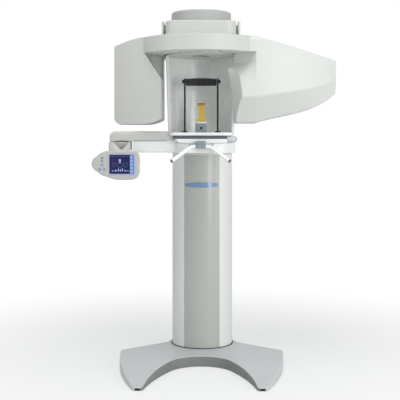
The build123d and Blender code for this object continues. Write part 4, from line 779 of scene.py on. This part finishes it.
def dress_bite_rest():
    """Release button and collar of the bite holder, amber sleeve over the bite block and its grip ribs."""
    button_profile = [(0, 5.6), (11.0, 5.6), (12.2, 4.9), (12.4, 3.6), (11.9, 3.2)]
    button = turned(button_profile, (0, -391.0, 1162.0), "front", sides=32)
    finish_piece(button, "holder_release_button", black_rubber, "carriage")
    collar = slab((-24.6, -400.1, 1184.4), (24.6, -369.9, 1192.7), corner=6.6, rim=1.0)
    finish_piece(collar, "holder_collar", white_trim, "carriage")
    sleeve = slab((-18.0, -405.6, 1272.6), (18.0, -380.6, 1280.4), corner=6.0, rim=1.8)
    finish_piece(sleeve, "bite_sleeve", amber_silicone, "carriage")
    lowest_rib, rib_pitch, rib_height = 1222.0, 7.0, 2.4
    ribs = []
    for number in range(6):
        foot = lowest_rib + rib_pitch * number
        ribs.append(slab((-13.0, -389.4, foot), (13.0, -388.2, foot + rib_height), corner=0.8, along=1))
    finish_piece(joined(ribs), "bite_block_ribs", yellow_polycarbonate, "carriage")


def dress_tray():
    """Screws and front bead of the chin tray, and the cap on its knob."""
    tray_surface = 1140.0
    places = [(side * 110.0, -478.0, tray_surface) for side, _ in both_sides]
    screws("tray_screws", places, "up", "carriage", head=3.6)
    bead = slab((-108.0, -511.2, 1131.5), (108.0, -507.5, 1134.3), corner=1.3, along=0)
    finish_piece(bead, "tray_front_bead", white_trim, "carriage")
    cap_profile = [(0, 9.5), (2.2, 9.5), (3.4, 8.4), (3.6, 6.0), (2.8, 5.2)]
    knob_cap = turned(cap_profile, (164.0, -481.0, 1109.5), "right", sides=40)
    finish_piece(knob_cap, "tray_knob_cap", grey_abs, "tray_knob")


def dress_arm():
    """White box at the arm's end beside the handle, its raised top, and the joint that meets the tray."""
    box_front = -458.5
    box_end = slab((-168.0, box_front, 1045.5), (-90.0, -391.5, 1085.5))
    round_edges(box_end, 13.0, 6, lambda at, way: abs(way.y) > aligned and at.x > -100.0 * mm)
    round_edges(box_end, 2.0, 3, lambda at, way: at.y < (box_front + 0.1) * mm and at.x > -160.0 * mm)
    finish_piece(box_end, "arm_box_end", white_trim, "carriage")
    upper_end = slab((-160.0, -458.3, 1085.3), (-110.0, -391.6, 1109.6), corner=1.0)
    finish_piece(upper_end, "arm_box_top", white_trim, "carriage")
    tray_joint = slab((-150.5, -463.5, 1103.3), (-131.7, -385.0, 1125.8), corner=1.0, along=0)
    finish_piece(tray_joint, "arm_tray_joint", arm_abs, "carriage")


def dress_handle():
    """Two screws in the front of the grip tube's clamp."""
    clamp_front, clamp_height = -540.5, 1089.0
    places = [(side * 14.0, clamp_front, clamp_height) for side, _ in both_sides]
    screws("clamp_screws", places, "front", "carriage", head=3.8)


def dress_head():
    """Rubber gasket under the rim of the round cap; its black also stands in for the shade in the gap
    there.
    """
    gasket = spun((141.2, 1661.0), (143.9, 1663.0), (0, gantry_axis_y),
                  start=0, sweep=360, steps=96, corner=0.6)
    finish_piece(gasket, "cap_gasket_and_gap_shade", black_rubber, "carriage", smooth_angle=60.0)


# Panel details

panel_face = -560.0
# Circles whose hull is the panel's outline: place across, height and radius
panel_lobes = [
    (-466.0, 996.0, 35.5), (-428.0, 996.0, 58.5), (-382.0, 989.5, 67.0), (-350.0, 988.0, 67.0),
    (-341.0, 998.0, 58.0), (-311.0, 1025.5, 30.0), (-318.0, 960.0, 37.0),
]
# Places of the five keys: place across and height
button_places = [(-452.6, 1023.0), (-452.6, 1008.5), (-452.6, 990.0), (-463.0, 970.5), (-442.4, 970.5)]
# Rings on the display: place across, height and outer radius
halo_places = [(-398.0, 991.0, 9.0), (-344.0, 990.0, 10.5), (-371.0, 990.0, 13.0)]
# Row of bars on the display: left edge, width and height
bar_places = [
    (-408, 8, 4), (-394, 8, 7), (-380, 5, 12), (-371, 5, 9), (-362, 5, 13), (-350, 8, 6), (-337, 6, 4),
]


def dress_panel_front():
    """Moulded egg-shaped front of the control panel: hull of the circles, rim rounded, openings cut."""
    thickness = 17.0
    back = panel_face + thickness
    trim_gap = 0.3
    key_hole_radius = 4.85
    discs = [turned([(0.0, radius), (thickness, radius)], (across, back, height), "front", sides=96)
             for across, height, radius in panel_lobes]
    shell = joined(discs)
    open_whole(shell)
    bpy.ops.mesh.convex_hull()
    bpy.ops.mesh.select_all(action="SELECT")
    bpy.ops.mesh.dissolve_limited(angle_limit=math.radians(0.6))
    leave_edit()
    round_edges(shell, 5.5, 5, lambda at, way: at.y < (panel_face + 0.01) * mm)
    low, high = [[c / mm for c in corner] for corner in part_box("panel_bezel")]
    pocket = slab((low[0] - trim_gap, -570.0, low[2] - trim_gap),
                  (high[0] + trim_gap, -530.0, high[2] + trim_gap), corner=5.3, along=1)
    combine(shell, pocket, "DIFFERENCE")
    for across, height in button_places:
        hole_profile = [(0.0, key_hole_radius), (60.0, key_hole_radius)]
        hole = turned(hole_profile, (across, -520.0, height), "front", sides=40)
        combine(shell, hole, "DIFFERENCE")
    finish_piece(shell, "panel_front_shell", panel_abs, "panel", smooth_angle=30.0)
    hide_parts("panel_front")


def dress_neck():
    """Folded cover of the panel's neck: a slanted triangular hollow under the rail."""
    top, front = 1095.5, -514.0
    left, right = -409.0, -332.0
    neck = cad_copy("panel_neck")
    cover = slab((-428.0, front, top - 44.0), (-330.0, -488.0, top), corner=7.0)
    combine(neck, cover, "UNION")
    hollow = slab((left, -530.0, top - 33.0), (right, -470.0, top + 1.0))
    slice_off(hollow, (left, 0.0, top), (-33.0, 0.0, -46.0))
    slice_off(hollow, (right, 0.0, top), (33.0, 0.0, -29.0))
    slice_off(hollow, (0.0, front, top), (0.0, 33.0, 22.0))
    combine(neck, hollow, "DIFFERENCE")
    finish_piece(neck, "neck_cover", arm_abs, "neck", smooth_angle=30.0)
    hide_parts("panel_neck")


def dress_panel():
    """Rings round the keys, the lamp, the fields and marks of the display, and the screws in the back."""
    rings = [flat_ring((across, panel_face, height), outer=6.3, inner=4.8, proud=0.7)
             for across, height in button_places]
    finish_piece(joined(rings), "button_rings", panel_trim, "panel", smooth_angle=40.0)
    lamp = slab((-388.0, -561.0, 945.2), (-371.0, -560.2, 947.6), corner=1.1, along=1)
    finish_piece(lamp, "power_lamp", green_lamp, "panel")
    strip = slab((-325.5, -559.35, 950.0), (-308.0, -558.8, 1036.5), corner=2.0, along=1)
    finish_piece(strip, "display_side_keys", key_strip_light, "panel")
    key_height = 11.0
    keys = [slab((-322.8, -559.6, foot), (-310.8, -559.2, foot + key_height), corner=2.2, along=1)
            for foot in (954.0, 970.5, 987.0, 1003.5, 1020.0)]
    finish_piece(joined(keys), "display_key_fields", key_field_light, "panel")
    halo_width = 1.6
    halos = [flat_ring((across, -559.1, height), outer=radius, inner=radius - halo_width, proud=0.3)
             for across, height, radius in halo_places]
    finish_piece(joined(halos), "display_halos", halo_light, "panel", smooth_angle=40.0)
    bars_foot = 961.0
    bars = [slab((left, -559.3, bars_foot), (left + width, -558.9, bars_foot + height), corner=1.0, along=1)
            for left, width, height in bar_places]
    finish_piece(joined(bars), "display_bars", bright_light, "panel")
    marker_head = turned([(0, 5.4), (0.3, 5.4), (0.35, 4.4)], (-371.0, -559.0, 1012.0), "front", sides=32)
    marker_foot = slab((-374.0, -559.3, 997.0), (-368.0, -558.9, 1008.0), corner=2.4, along=1)
    marker = joined([marker_head, marker_foot])
    finish_piece(marker, "display_marker", bright_light, "panel", smooth_angle=40.0)
    upper_rule = slab((-416.0, -559.25, 1029.0), (-329.0, -558.9, 1030.2), corner=0.5, along=1)
    lower_rule = slab((-416.0, -559.25, 953.0), (-329.0, -558.9, 954.0), corner=0.4, along=1)
    finish_piece(joined([upper_rule, lower_rule]), "display_rules", halo_light, "panel")
    panel_back = -527.5
    places = [(across, panel_back, height)
              for across, height in ((-470.0, 996.0), (-318.0, 1030.0), (-318.0, 950.0), (-400.0, 945.0))]
    screws("panel_back_screws", places, "back", "panel", head=3.4)


# Gantry details

def dress_gantry():
    """Cords in the seams of both housings, the two windows that the rays pass, and the ring's screws."""
    seam_y = -329.6
    for housing in ("tube", "detector"):
        seam_gasket(f"{housing}_cover_rear", f"{housing}_cover_seam", seam_y, "gantry", radius=0.9)
    port = slab((-186.2, -395.0, 1300.0), (-184.9, -305.0, 1390.0), corner=8.0, along=0, rim=0.6)
    finish_piece(port, "source_window", cap_abs, "gantry")
    window = spun((188.9, 1275.0), (190.3, 1415.0), (0, gantry_axis_y),
                  start=-20.0, sweep=40.0, steps=16, corner=0.5)
    finish_piece(window, "detector_window", cap_abs, "gantry", smooth_angle=50.0)
    bolt_circle, ring_underside = 238.0, 1512.0
    places = []
    for number in range(8):
        angle = math.radians(22.5 + 45 * number)
        across, back = bolt_circle * math.cos(angle), bolt_circle * math.sin(angle)
        places.append((across, gantry_axis_y + back, ring_underside))
    screws("ring_floor_screws", places, "down", "gantry", head=3.8)


dress_stand()
dress_foot_arc()
dress_niche()
dress_band()
dress_band_ends()
dress_bite_rest()
dress_tray()
dress_arm()
dress_handle()
dress_head()
dress_panel_front()
dress_neck()
dress_panel()
dress_gantry()
